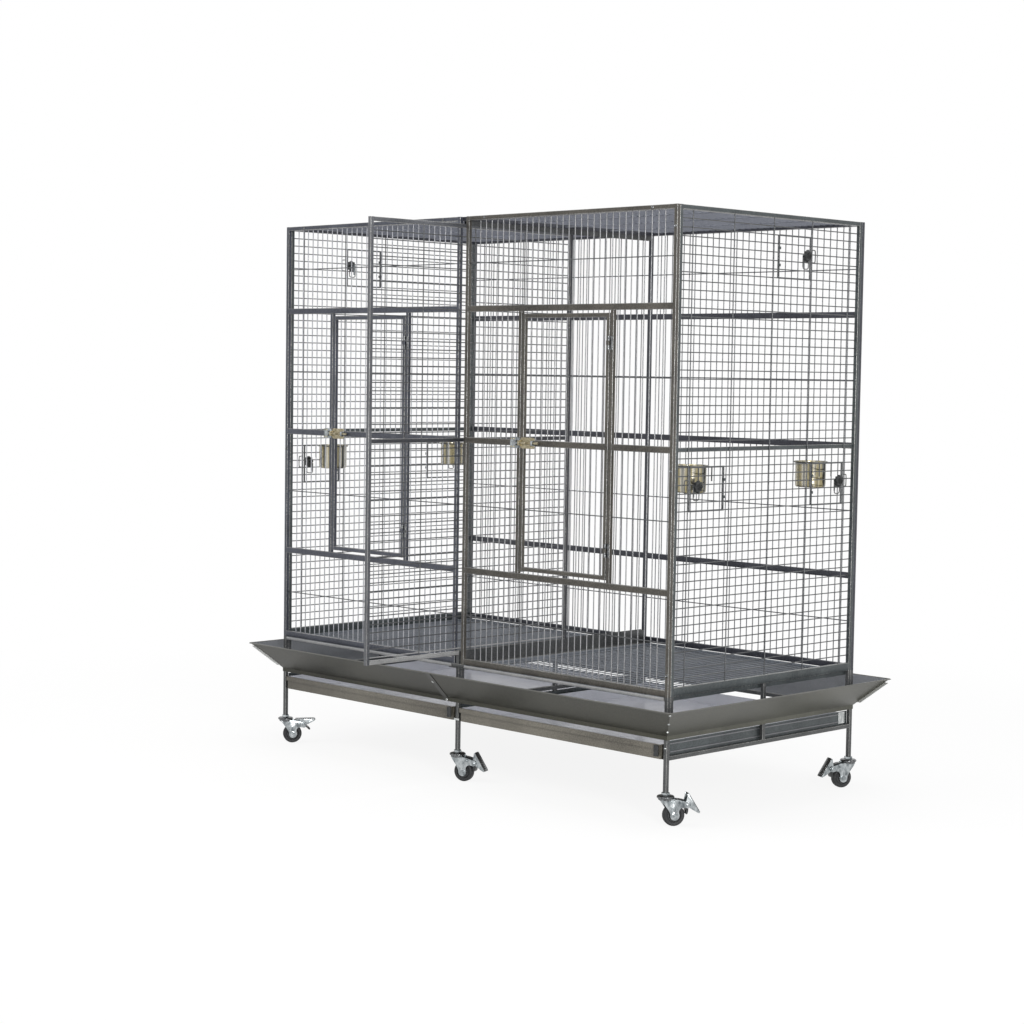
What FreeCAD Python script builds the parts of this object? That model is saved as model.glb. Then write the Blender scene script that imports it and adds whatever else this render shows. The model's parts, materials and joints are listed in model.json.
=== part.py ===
import FreeCAD, Part
import math
import os
from FreeCAD import Vector

# Two-bay parrot aviary cage on a castered stand, with doors, feeder doors,
# a slide-out divider, pull-out grates and trays, and seed guards.
# Millimetres. Origin on the floor under the middle of the cage,
# +X along the two bays, +Y to the back, +Z up.

# Frame tubes and wires
tube = 12.7            # square tube of posts, stiles and legs
rail_h = 19.0          # height of the front and back cross rails
side_rail_h = 25.4     # height of the side walls' bottom rail
wire = 3.2             # welded wire, drawn square
pin_flat_count = 6     # flats on hidden pins and their holes
few_flat_count = 8     # on small turned pieces
race_flat_count = 12   # on the casters' ball races and the turn knobs
cup_flat_count = 12    # on cups and their rings
wheel_flat_count = 20  # on wheels
pitch = 25.4           # wire spacing, centre to centre

# Cage
bay_wires = 31         # upright wires across one bay
edge_gap = 41.3        # last wire's centre to the stile
slot_w = 28.0          # gap between the two front panels, for the divider
cage_d = 889.0         # front face to back face
cage_z = 374.0         # underside of the cage above the floor
cage_h = 1407.0        # height of the wall panels
mid_rise = 709.7       # middle rail above the underside
rail_step = 410.0      # middle rail to the upper and lower rail
roof_seam = 0.4        # gap between the two roof frames
roof_bars = 3          # cross wires under each roof frame

# Inner doors
door_gap = 3.0         # door to its side posts
door_lift = 8.0        # door to the rails above and below
door_wires = 13        # upright wires in a door
post_step = 1.5        # door's last wire to its post, in wire spacings
hinge_rise = 304.8     # hinges above and below the middle rail
hinge_r = 4.0          # knuckle radius
hinge_play = 0.5       # knuckle off the door's face
pin_r = 1.9            # hinge pin radius
pin_play = 0.3         # pin to moving knuckle, all round
knuckle_h = 13.0       # height of one knuckle
knuckle_gap = 0.5      # between knuckles
leaf_t = 1.5           # hinge leaf
leaf_w = 9.0

# Slide latches of the inner doors
latch_w = 64.0
latch_h = 34.0
latch_t = 2.0          # backing plate
lug_w = 8.0            # guide lugs for the bolt
lug_h = 16.0
bolt_r = 4.0
bolt_play = 0.4
bolt_set = 1.0         # withdrawn bolt and case inside the door's edge
lug_wall = 2.0         # lug around the bolt hole
bolt_len = 82.0
bolt_throw = 24.0
bolt_knob_r = 4.5
bolt_knob_l = 12.0
keeper_w = 40.0
keeper_edge = 4.0      # keeper lug to the post's inner face

# Divider
drawn = 385.0          # how far the divider stands out in front
divider_top_play = 8.5  # room to lift the divider out
divider_end_play = 1.0
divider_foot_play = 0.3
divider_uprights = 3
track_t = 1.5          # guide channels
track_play = 0.8       # channel to divider, each side
track_lip = 16.0       # depth of the guide channels
track_rise = 26.5      # bottom guide's foot above the beam

# Side walls: five stout uprights and three wire doors
side_bars = 5
side_bar_edge = 74.5   # first upright to the wall's end
feeder_in = 157.5      # middle of a feeder door to the wall's end
feeder_rows = 2        # rows from the middle rail down to the feeder doors
upper_y = 102.0        # upper door, off the middle
upper_rows = 1         # rows from the upper door up to the last row
hatch_rows = 5         # height of a wire door in rows
hatch_half = 76.2      # half width of a wire door, on wire centres
hatch_play = 0.4       # wire door off the wall wires
pivot_bar = 2.8        # square bar the wire door turns on
clip_play = 1.0        # pivot bar to its clips, each side
clip_t = 1.0
clip_h = 8.0
hinge_strip = 7.0      # wider frame bar behind the clips
hatch_frame = 5.0      # height of a wire door's top and bottom bar

# Turn knobs of the wire doors
knob_inset = 27.0      # knob to the free edge's wire centre
knob_rise = 7.5        # knob over the middle of its door
knob_r = 18.5
knob_l = 13.0
spindle = 4.0
spindle_hole = 6.4
knob_plate_w = 20.0
knob_plate_t = 1.5
tongue_t = 2.0
tongue_w = 6.0
tongue_past = 5.0      # tongue beyond the free edge's wire centre
tongue_play = 1.2      # tongue behind the wall wires

# Feed cups in wire rings
cup_r = 48.0
cup_h = 81.0
cup_t = 1.0
cup_rim = 5.0
cup_rim_t = 2.0
cup_off = 68.0         # cup centre inside the wall's outer face
ring_play = 1.2        # cup in its ring
arm_y = 30.0

# Stand
leg_z = 91.0           # underside of the legs, on the casters
base_z = 250.0         # underside of the base rails
run_z = 190.0          # underside of the lower rails
run_t = 1.5            # tray runners
run_flange = 28.0
run_drop = 6.0         # runner's web under the base rail
ledge_t = 1.5          # grate ledges
ledge_w = 15.0

# Grates and trays
grate_h = 11.4
grate_play = 0.8       # grate under the wall panels
grate_side_play = 2.0
grate_bar = 8.0
grate_cross = 3
tray_t = 1.2
tray_h = 43.0
tray_play = 0.5        # tray above its runners
tray_gap = 10.0        # tray to the runner's web
tray_back_play = 3.0
tray_lip = 7.0
tray_set = 1.0         # tray's front behind the cage's front

# Seed guards
guard_out = 80.0       # reach outward
guard_up = 84.0        # rise of the slope
guard_t = 1.2
guard_hem = 5.0
guard_seam = 0.4       # gap between the two front halves
strip_t = 1.5          # joint strips at two corners
strip_in = 8.0         # on the guard's own face
strip_out = 12.0       # past the corner
strip_from = 0.12      # strip ends along the slope, as shares of it
strip_to = 0.88

# Casters
wheel_r = 32.0
wheel_w = 24.0
wheel_chamfer = 3.0
caster_trail = 24.0
axle_r = 4.0
axle_play = 0.4
fork_t = 2.5
fork_play = 3.0        # wheel to fork, each side
race_r = 26.0          # ball race at its widest
race_top_r = 19.0
race_h = 9.0
race_play = 0.4        # fork under the leg
crown_t = 5.0
fork_eye = 14.0        # radius of the fork's end round the axle
fork_waist = 9.0       # half width of the fork above the wheel's middle
brake_x = 38.0         # brake pivot behind the axle
brake_z = 30.0         # and above it
brake_arm = 8.0        # fork arm round the brake pivot
brake_pin_r = 2.5
brake_pin_play = 0.4
ear_t = 2.0            # pedal's side ears
ear_end = 6.0
pedal_t = 3.0
pedal_l = 68.0
pedal_w = 28.0
pedal_rise = 19.0      # pedal over its pivot
pedal_back = 27.0      # pedal's reach in front of the pivot
brake_turn = 58.0      # pedal's turn when pressed

# Places worked out from the sizes above
clear_w = (bay_wires - 1) * pitch + 2 * edge_gap
panel_w = clear_w + 2 * tube
cage_w = 2 * panel_w + slot_w
bay_x = slot_w / 2 + panel_w / 2
side_x = cage_w / 2
y_front = -cage_d / 2
y_back = cage_d / 2
cage_top = cage_z + cage_h
mid_z = cage_z + mid_rise
low_z = mid_z - rail_step
up_z = mid_z + rail_step
post_x = (door_wires // 2 + post_step) * pitch
door_half = post_x - tube / 2 - door_gap
door_low = low_z + rail_h / 2 + door_lift
door_top = up_z - rail_h / 2 - door_lift
rail_d = tube - wire
divider_len = cage_d - tube - divider_end_play
divider_z0 = cage_z + track_rise + track_t + divider_foot_play
divider_z1 = cage_top - tube - track_t - divider_top_play
side_bar_step = (cage_d - 2 * side_bar_edge) / (side_bars - 1)
feeder_y = cage_d / 2 - feeder_in
beam_half = slot_w / 2 + tube
leg_x = side_x - tube / 2
leg_y = cage_d / 2 - tube / 2
base_top = base_z + tube
axle_z = wheel_r


def block(x0, x1, y0, y1, z0, z1):
    corner = Vector(min(x0, x1), min(y0, y1), min(z0, z1))
    return Part.makeBox(abs(x1 - x0), abs(y1 - y0), abs(z1 - z0), corner)


def rod(x, y, z0, z1, size=wire):
    return block(x - size / 2, x + size / 2, y - size / 2, y + size / 2, z0, z1)


def prism(points, along):
    corners = [Vector(*p) for p in points]
    face = Part.Face(Part.makePolygon(corners + corners[:1]))
    return face.extrude(Vector(*along))


def ring_of(count, radius, base, along):
    across = Vector(1, 0, 0) if along[0] == 0 else Vector(0, 1, 0)
    other = Vector(*along).normalize().cross(across)
    turns = [2 * math.pi * (i + 0.5) / count for i in range(count)]
    corners = [Vector(*base) + (across * math.cos(a) + other * math.sin(a)) * radius for a in turns]
    return Part.makePolygon(corners + corners[:1])


def bar(count, radius, base, along):
    # a turned bar, drawn with flats
    return Part.Face(ring_of(count, radius, base, along)).extrude(Vector(*along))


def bore(count, radius, base, along):
    # its hole, with the radius on the flats
    return bar(count, radius / math.cos(math.pi / count), base, along)


def turned(shape, angle, centre=(0, 0, 0), axis=(0, 0, 1)):
    copy = shape.copy()
    copy.rotate(Vector(*centre), Vector(*axis), angle)
    return copy


def opposite(shapes):
    # the left wall is the right wall turned half round
    return [turned(s, 180) for s in shapes]


def save(name, shapes):
    whole = shapes[0] if len(shapes) == 1 else Part.makeCompound(shapes)
    whole.exportStep("parts/%s.step" % name)


def bay_wire_x(cx):
    return [cx + (i - (bay_wires - 1) / 2) * pitch for i in range(bay_wires)]


def front_panel(cx):
    x0 = cx - clear_w / 2
    x1 = cx + clear_w / 2
    y0 = y_front
    y1 = y_front + tube
    y_rail = y_front + rail_d
    half = rail_h / 2
    solids = [block(x0 - tube, x0, y0, y1, cage_z, cage_top),
              block(x1, x1 + tube, y0, y1, cage_z, cage_top),
              block(x0, x1, y0, y1, cage_z, cage_z + rail_h),
              block(x0, x1, y0, y1, cage_top - tube, cage_top)]
    for z in (low_z, up_z):
        solids.append(block(x0, x1, y0, y_rail, z - half, z + half))
    wy = y_rail + wire / 2
    hy = y_rail - wire / 2
    for x in bay_wire_x(cx):
        if abs(x - cx) > post_x + tube / 2:
            solids.append(rod(x, wy, cage_z + rail_h, cage_top - tube))
        else:
            solids.append(rod(x, wy, cage_z + rail_h, low_z + half))
            solids.append(rod(x, wy, up_z - half, cage_top - tube))
    for z in ((cage_z + rail_h + low_z - half) / 2, (up_z + half + cage_top - tube) / 2):
        solids.append(block(x0, x1, hy - wire / 2, y_rail, z - wire / 2, z + wire / 2))
    for side in (-1, 1):
        post = cx + side * post_x
        inner = post + side * tube / 2
        outer = cx + side * clear_w / 2
        solids.append(block(post - tube / 2, post + tube / 2, y0, y1, low_z + half, up_z - half))
        solids.append(block(inner, outer, y0, y_rail, mid_z - half, mid_z + half))
        for z in ((low_z + mid_z) / 2, (up_z + mid_z) / 2):
            solids.append(block(inner, outer, hy - wire / 2, y_rail, z - wire / 2, z + wire / 2))
    return solids


def hinge_axis(cx):
    return cx + post_x - tube / 2 - door_gap / 2, y_front - hinge_r - hinge_play


def knuckle(x, y, z, toward):
    barrel = bar(few_flat_count, hinge_r, (x, y, z - knuckle_h / 2), (0, 0, knuckle_h))
    reach = x + toward * (hinge_r + leaf_w / 2)
    bridge = block(x, reach, y_front - leaf_t, y_front, z - knuckle_h / 2, z + knuckle_h / 2)
    return barrel.fuse(bridge)


def fixed_hinges(cx):
    x, y = hinge_axis(cx)
    step = knuckle_h + knuckle_gap
    solids = []
    for zc in (mid_z - hinge_rise, mid_z + hinge_rise):
        start = x + hinge_r + pin_play
        leaf = block(start, start + leaf_w, y_front - leaf_t, y_front,
                     zc - step - knuckle_h / 2, zc + step + knuckle_h / 2)
        pin = bar(pin_flat_count, pin_r, (x, y, zc - step), (0, 0, 2 * step))
        hinge = leaf.multiFuse([knuckle(x, y, zc - step, 1), knuckle(x, y, zc + step, 1), pin])
        solids.append(hinge.removeSplitter())
    return solids


def inner_door(cx):
    xa = cx - door_half
    xb = cx + door_half
    y0 = y_front
    y1 = y_front + tube
    y_rail = y_front + rail_d
    solids = [block(xa, xa + tube, y0, y1, door_low, door_top),
              block(xb - tube, xb, y0, y1, door_low, door_top),
              block(xa + tube, xb - tube, y0, y1, door_low, door_low + tube),
              block(xa + tube, xb - tube, y0, y1, door_top - tube, door_top),
              block(xa + tube, xb - tube, y0, y_rail, mid_z - rail_h / 2, mid_z + rail_h / 2)]
    for i in range(door_wires):
        x = cx + (i - (door_wires - 1) / 2) * pitch
        solids.append(rod(x, y_rail + wire / 2, door_low + tube, door_top - tube))
    for z in ((low_z + mid_z) / 2, (up_z + mid_z) / 2):
        solids.append(block(xa + tube, xb - tube, y_rail - wire, y_rail, z - wire / 2, z + wire / 2))
    x, y = hinge_axis(cx)
    for zc in (mid_z - hinge_rise, mid_z + hinge_rise):
        end = x - hinge_r - pin_play
        leaf = block(end - leaf_w, end, y_front - leaf_t, y_front, zc - knuckle_h / 2, zc + knuckle_h / 2)
        hole = bore(pin_flat_count, pin_r + pin_play, (x, y, zc - knuckle_h / 2), (0, 0, knuckle_h))
        solids.append(leaf.fuse(knuckle(x, y, zc, -1)).cut(hole).removeSplitter())
    return solids


def bolt_place(cx):
    # tip of the withdrawn bolt, and its centre line in front of the frame
    return cx - door_half + bolt_set, y_front - latch_t - bolt_r - bolt_play - lug_wall


def bolt_hole(x0, x1, y):
    return bore(few_flat_count, bolt_r + bolt_play, (x0, y, mid_z), (x1 - x0, 0, 0))


def guide_lug(x0, y):
    return block(x0, x0 + lug_w, y - bolt_r - bolt_play - lug_wall, y_front - latch_t / 2,
                 mid_z - lug_h / 2, mid_z + lug_h / 2)


def latch_case(cx):
    x0, y = bolt_place(cx)
    plate = block(x0, x0 + latch_w, y_front - latch_t, y_front, mid_z - latch_h / 2, mid_z + latch_h / 2)
    lugs = [guide_lug(x0, y), guide_lug(x0 + latch_w - lug_w, y)]
    hole = bolt_hole(x0, x0 + latch_w, y)
    return [plate.multiFuse(lugs).cut(hole).removeSplitter()]


def latch_bolt(cx):
    x0, y = bolt_place(cx)
    bolt = bar(few_flat_count, bolt_r, (x0, y, mid_z), (bolt_len, 0, 0))
    grip_x = x0 + latch_w / 2 + bolt_throw / 4
    grip = bar(few_flat_count, bolt_knob_r, (grip_x, y, mid_z), (0, -bolt_r - bolt_knob_l, 0))
    return [bolt.fuse(grip).removeSplitter()]


def latch_keeper(cx):
    y = bolt_place(cx)[1]
    x1 = cx - post_x + tube / 2
    plate = block(x1 - keeper_w, x1, y_front - latch_t, y_front, mid_z - latch_h / 2, mid_z + latch_h / 2)
    lug = guide_lug(x1 - lug_w - keeper_edge, y)
    hole = bolt_hole(x1 - keeper_w, x1, y)
    return plate.fuse(lug).cut(hole).removeSplitter()


def back_panels():
    y1 = y_back
    y0 = y_back - tube
    y_wire = y_back - wire
    half = rail_h / 2
    solids = [block(-tube / 2, tube / 2, y0, y1, cage_z, cage_top)]
    rails = (low_z, mid_z, up_z)
    edges = [cage_z + rail_h] + [z + k * half for z in rails for k in (-1, 1)] + [cage_top - tube]
    for side in (-1, 1):
        xa = side * tube / 2
        xb = side * (side_x - tube)
        solids += [block(xb, side * side_x, y0, y1, cage_z, cage_top),
                   block(xa, xb, y0, y1, cage_z, cage_z + rail_h),
                   block(xa, xb, y0, y1, cage_top - tube, cage_top)]
        for z in rails:
            solids.append(block(xa, xb, y0, y_wire, z - half, z + half))
        inmost = side * (bay_x - (bay_wires + 1) / 2 * pitch)
        for x in bay_wire_x(side * bay_x) + [inmost]:
            solids.append(rod(x, y_back - wire / 2, cage_z + rail_h, cage_top - tube))
        for z0, z1 in zip(edges[::2], edges[1::2]):
            z = (z0 + z1) / 2
            solids.append(block(xa, xb, y_wire - wire, y_wire, z - wire / 2, z + wire / 2))
    return solids


def side_rows():
    low = int((mid_rise - tube / 2 - side_rail_h - wire) / pitch)
    high = int((cage_top - tube - mid_z - wire) / pitch)
    return [k for k in range(-low, high + 1) if k != 0]


def row_z(k):
    return mid_z + k * pitch


def hatches():
    # middle, lowest row and hinge side of each wire door
    feeder_row = -feeder_rows - hatch_rows
    upper_row = side_rows()[-1] - upper_rows - hatch_rows
    return {"feeder_front": (-feeder_y, feeder_row, 1),
            "feeder_back": (feeder_y, feeder_row, -1),
            "upper": (upper_y, upper_row, -1)}


def pivot_x():
    return side_x - tube / 2 + hatch_play + wire / 2


def side_panel():
    x1 = side_x
    x0 = side_x - tube
    xm = side_x - tube / 2
    ya = y_front + 2 * tube
    yb = y_back - 2 * tube
    solids = [block(x0, x1, ya - tube, ya, cage_z, cage_top),
              block(x0, x1, yb, yb + tube, cage_z, cage_top),
              block(x0, x1, ya, yb, cage_z, cage_z + side_rail_h),
              block(x0, x1, ya, yb, cage_top - tube, cage_top),
              block(x0, xm, ya, yb, mid_z - tube / 2, mid_z + tube / 2)]
    for i in range(side_bars):
        y = (i - (side_bars - 1) / 2) * side_bar_step
        solids.append(rod(xm + wire / 2, y, cage_z + side_rail_h, cage_top - tube))
    for k in side_rows():
        cuts = [hatch_cut(y, hinge) for y, row, hinge in hatches().values() if row < k < row + hatch_rows]
        start = ya
        for left, right in sorted(cuts):
            solids.append(row_wire(k, start, left))
            start = right
        solids.append(row_wire(k, start, yb))
    for y, row, hinge in hatches().values():
        z0 = row_z(row) + wire / 2
        z1 = row_z(row + hatch_rows) - wire / 2
        free = y - hinge * hatch_half
        fixed = y + hinge * hatch_half
        solids.append(block(xm - wire, xm, free - wire / 2, free + wire / 2, z0, z1))
        solids.append(block(xm - wire, xm, fixed - hinge_strip / 2, fixed + hinge_strip / 2, z0, z1))
        for z in ((z0 + z1) / 2 - pitch, (z0 + z1) / 2 + pitch):
            solids.append(clip(fixed, z))
    for y in (-feeder_y, feeder_y):
        solids.append(cup_ring(y))
    return solids


def row_wire(k, ya, yb):
    xm = side_x - tube / 2
    return block(xm - wire, xm, ya, yb, row_z(k) - wire / 2, row_z(k) + wire / 2)


def hatch_cut(y, hinge):
    ends = (y - hinge * (hatch_half + wire / 2), y + hinge * (hatch_half + hinge_strip / 2))
    return min(ends), max(ends)


def clip(y, z):
    # a strap bent round the pivot bar and welded to the frame bar
    xm = side_x - tube / 2
    room = pivot_bar / 2 + clip_play
    outer = room + clip_t
    z0 = z - clip_h / 2
    strap = block(xm, pivot_x() + outer, y - outer, y + outer, z0, z0 + clip_h)
    hollow = block(xm, pivot_x() + room, y - room, y + room, z0, z0 + clip_h)
    return strap.cut(hollow)


def cup_ring(y):
    x = side_x - cup_off
    z = row_z(-feeder_rows) - wire / 2
    inner = cup_r + ring_play
    outside = bar(cup_flat_count, inner + wire, (x, y, z), (0, 0, wire))
    ring = outside.cut(bar(cup_flat_count, inner, (x, y, z), (0, 0, wire)))
    start = x + math.sqrt(inner ** 2 - arm_y ** 2) + wire / 2
    end = side_x - tube / 2 - wire
    half = wire / 2
    arms = [block(start, end, ya - half, ya + half, z, z + wire) for ya in (y - arm_y, y + arm_y)]
    return ring.multiFuse(arms).removeSplitter()


def feed_cup(y):
    x = side_x - cup_off
    z1 = row_z(-feeder_rows) + wire / 2
    z0 = z1 + cup_rim_t - cup_h
    wall = bar(cup_flat_count, cup_r, (x, y, z0), (0, 0, cup_h))
    rim = bar(cup_flat_count, cup_r + cup_rim, (x, y, z1), (0, 0, cup_rim_t))
    hollow = bar(cup_flat_count, cup_r - cup_t, (x, y, z0 + cup_t), (0, 0, cup_h))
    return wall.fuse(rim).cut(hollow).removeSplitter()


def wire_door(y, row, hinge):
    x0 = side_x - tube / 2 + hatch_play
    x1 = x0 + wire
    free = y - hinge * hatch_half
    fixed = y + hinge * hatch_half
    edge = fixed - hinge * pivot_bar / 2
    top = row + hatch_rows
    thick = hatch_frame / 2
    z0 = row_z(row)
    z1 = row_z(top)
    solids = [rod(pivot_x(), fixed, z0 - thick, z1 + thick, pivot_bar),
              block(x0, x1, free - wire / 2, free + wire / 2, z0 + thick, z1 - thick)]
    for z in (z0, z1):
        solids.append(block(x0, x1, free - hinge * wire / 2, edge, z - thick, z + thick))
    for k in range(row + 1, top):
        solids.append(block(x0, x1, free + hinge * wire / 2, edge, row_z(k) - wire / 2, row_z(k) + wire / 2))
    ky, kz = knob_place(y, row, hinge)
    low = kz - knob_rise - (pitch + wire) / 2
    plate = block(x1, x1 + knob_plate_t, ky - knob_plate_w / 2, ky + knob_plate_w / 2, low, low + pitch + wire)
    reach = spindle_hole / 2
    hole = block(x1, x1 + knob_plate_t, ky - reach, ky + reach, kz - reach, kz + reach)
    return solids + [plate.cut(hole)]


def knob_place(y, row, hinge):
    return y - hinge * (hatch_half - knob_inset), row_z(row + hatch_rows / 2) + knob_rise


def turn_knob(y, row, hinge):
    ky, kz = knob_place(y, row, hinge)
    x_back = side_x - tube / 2 - wire - tongue_play
    x_front = side_x - tube / 2 + hatch_play + wire + knob_plate_t + hatch_play
    half = spindle / 2
    shaft = block(x_back, x_front, ky - half, ky + half, kz - half, kz + half)
    tongue = block(x_back - tongue_t, x_back, ky - tongue_w / 2, ky + tongue_w / 2,
                   kz - knob_inset - tongue_past, kz + tongue_w / 2)
    grip = bar(race_flat_count, knob_r, (x_front, ky, kz), (knob_l, 0, 0))
    return [shaft.multiFuse([tongue, grip]).removeSplitter()]


def roof_panels():
    z0 = cage_top - tube
    ya = y_front + tube
    yb = y_back - tube
    solids = []
    for side in (-1, 1):
        edge_a = side * roof_seam / 2
        edge_b = side * (side_x - tube)
        xa = edge_a + side * tube
        xb = edge_b - side * tube
        solids += [block(edge_a, xa, ya, yb, z0, cage_top),
                   block(xb, edge_b, ya, yb, z0, cage_top),
                   block(xa, xb, ya, ya + tube, z0, cage_top),
                   block(xa, xb, yb - tube, yb, z0, cage_top)]
        zm = z0 + tube / 2
        for x in bay_wire_x(side * bay_x):
            solids.append(block(x - wire / 2, x + wire / 2, ya + tube, yb - tube, zm, zm + wire))
        for i in range(roof_bars):
            y = ya + (i + 1) * (yb - ya) / (roof_bars + 1)
            solids.append(block(xa, xb, y - wire / 2, y + wire / 2, zm - wire, zm))
    return solids


def divider():
    half = tube / 2
    y0 = y_front - drawn
    y1 = y0 + divider_len
    z0 = divider_z0
    z1 = divider_z1
    solids = [block(-half, half, y0, y0 + tube, z0, z1),
              block(-half, half, y1 - tube, y1, z0, z1),
              block(-half, half, y0 + tube, y1 - tube, z0, z0 + tube),
              block(-half, half, y0 + tube, y1 - tube, z1 - tube, z1),
              block(-half, half, y0 + tube, y1 - tube, mid_z - half, mid_z + half)]
    rows = [k for k in side_rows() if z0 + tube + wire < row_z(k) < z1 - tube - wire]
    for k in rows:
        z = row_z(k)
        solids.append(block(-wire, 0, y0 + tube, y1 - tube, z - wire / 2, z + wire / 2))
    for i in range(divider_uprights):
        y = y0 + (i + 1) * divider_len / (divider_uprights + 1)
        solids.append(rod(wire / 2, y, z0 + tube, mid_z - half))
        solids.append(rod(wire / 2, y, mid_z + half, z1 - tube))
    return solids


def divider_tracks():
    inner = tube / 2 + track_play
    outer = inner + track_t
    ya = y_front
    yb = y_back - tube
    top = cage_top - tube
    lip = top - track_lip
    web = top - track_t
    upper = [(-outer, top), (outer, top), (outer, lip), (inner, lip), (inner, web),
             (-inner, web), (-inner, lip), (-outer, lip)]
    foot = cage_z + track_rise
    floor = foot + track_t
    rim = foot + track_lip
    half = tube / 2
    lower = [(-half, cage_z), (half, cage_z), (half, foot), (outer, foot), (outer, rim), (inner, rim),
             (inner, floor), (-inner, floor), (-inner, rim), (-outer, rim), (-outer, foot), (-half, foot)]
    return [prism([(x, ya + tube, z) for x, z in upper], (0, yb - ya - tube, 0)),
            prism([(x, ya, z) for x, z in lower], (0, yb - ya, 0))]


def stand_frame():
    half = tube / 2
    x_in = side_x - tube
    plate_z = cage_z - tube - ledge_t
    solids = [block(-beam_half, beam_half, y_front, y_back, cage_z - tube, cage_z),
              block(-beam_half - ledge_w, beam_half + ledge_w, y_front, y_back, plate_z, plate_z + ledge_t)]
    for y in (-leg_y, leg_y):
        solids += [rod(-leg_x, y, leg_z, cage_z, tube), rod(leg_x, y, leg_z, cage_z, tube),
                   rod(0, y, leg_z, plate_z, tube),
                   block(-x_in, -half, y - half, y + half, base_z, base_top),
                   block(half, x_in, y - half, y + half, base_z, base_top)]
    for x in (-x_in, half):
        solids.append(block(x, x + x_in - half, y_back - tube, y_back, run_z, run_z + tube))
    ya = y_front + tube
    yb = y_back - tube
    for x, top in ((-leg_x, cage_z), (0, plate_z), (leg_x, cage_z)):
        solids += [block(x - half, x + half, ya, yb, base_z, base_top),
                   block(x - half, x + half, ya, yb, run_z, run_z + tube),
                   rod(x, 0, run_z + tube, base_z, tube)]
        for y in (ya + half, 0, yb - half):
            solids.append(rod(x, y, base_top, top, tube))
    return solids


def runners():
    ya = y_front + tube
    along = (0, cage_d - 2 * tube, 0)
    solids = []
    for side in (-1, 1):
        for wall, toward in ((side_x - tube, -1), (tube / 2, 1)):
            x0 = wall
            xf = wall + toward * run_flange
            xt = wall + toward * run_t
            top = base_z - run_drop
            angle = [(x0, run_z), (xf, run_z), (xf, run_z + run_t), (xt, run_z + run_t), (xt, top), (x0, top)]
            solids.append(prism([(side * x, ya, z) for x, z in angle], along))
        x0 = side_x - tube
        xf = x0 - ledge_w - grate_side_play
        xt = x0 - ledge_t
        z1 = cage_z - tube
        z0 = z1 - ledge_t
        top = cage_z + side_rail_h / 2
        angle = [(x0, z0), (xf, z0), (xf, z1), (xt, z1), (xt, top), (x0, top)]
        solids.append(prism([(side * x, ya, z) for x, z in angle], along))
    return solids


def grate():
    xa = beam_half + grate_side_play
    xb = side_x - tube - ledge_t - grate_side_play
    ya = y_front
    yb = y_back - tube - grate_side_play
    z1 = cage_z - grate_play
    z0 = z1 - grate_h
    edge = grate_bar
    solids = [block(xa, xb, ya, ya + edge, z0, z1),
              block(xa, xb, yb - edge, yb, z0, z1),
              block(xa, xa + edge, ya + edge, yb - edge, z0, z1),
              block(xb - edge, xb, ya + edge, yb - edge, z0, z1)]
    zm = z0 + grate_h / 2
    for x in bay_wire_x(bay_x):
        solids.append(block(x - wire / 2, x + wire / 2, ya + edge, yb - edge, zm, zm + wire))
    for i in range(grate_cross):
        y = ya + (i + 1) * (yb - ya) / (grate_cross + 1)
        solids.append(block(xa + edge, xb - edge, y - wire / 2, y + wire / 2, zm - wire, zm))
    return solids


def tray():
    xa = tube / 2 + run_t + tray_gap
    xb = side_x - tube - run_t - tray_gap
    ya = y_front + tray_set
    yb = y_back - tube - tray_back_play
    z0 = run_z + run_t + tray_play
    z1 = z0 + tray_h
    pan = block(xa, xb, ya, yb, z0, z1)
    hollow = block(xa + tray_t, xb - tray_t, ya + tray_t, yb - tray_t, z0 + tray_t, z1)
    lip = block(xa, xb, ya - tray_lip, ya, z1 - tray_t, z1)
    turn = block(xa, xb, ya - tray_lip, ya - tray_lip + tray_t, z1 - 2 * tray_lip, z1)
    return [pan.cut(hollow).multiFuse([lip, turn]).removeSplitter()]


def guard_profile():
    # reach and height of the folded sheet's outline
    slope = math.hypot(guard_out, guard_up)
    nx = guard_up / slope * guard_t
    nz = -guard_out / slope * guard_t
    rise = guard_up / guard_out
    top = base_top + guard_up
    knee = base_top + nz + (guard_t - nx) * rise
    under = nx + (top - guard_t - base_top - nz) / rise
    lip = guard_out + guard_hem
    return [(0, base_z), (0, base_top), (guard_out, top), (lip, top),
            (lip, top - guard_t), (under, top - guard_t), (guard_t, knee), (guard_t, base_z)]


def guard(half, dist, ends):
    # a guard along X, its foot on the plane y = -dist, trimmed in plan by the given ends
    far = guard_out + 2 * guard_hem
    sheet = prism([(-half - far, -dist - o, z) for o, z in guard_profile()], (2 * (half + far), 0, 0))
    left_in, left_out, right_in, right_out = ends
    plan = [(left_in, -dist + far, 0), (right_in, -dist + far, 0), (right_out, -dist - far, 0),
            (left_out, -dist - far, 0)]
    return sheet.common(prism(plan, (0, 0, cage_z)))


def mitre(half):
    far = guard_out + 2 * guard_hem
    return half - far, half + far


def guard_strip(half, dist):
    # joint strip on the outer face of the front guard's left end, reaching past the corner
    slope = math.hypot(guard_out, guard_up)
    nx = guard_up / slope
    nz = -guard_out / slope
    rims = []
    for share in (strip_from, strip_to):
        o = share * guard_out + guard_t * nx
        rims.append((-half - o, -dist - o, base_top + share * guard_up + guard_t * nz))
    (xa, ya, za), (xb, yb, zb) = rims
    corners = [(xa + strip_in, ya, za), (xa - strip_out, ya, za),
               (xb - strip_out, yb, zb), (xb + strip_in, yb, zb)]
    return prism(corners, (0, -strip_t * nx, strip_t * nz))


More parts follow.
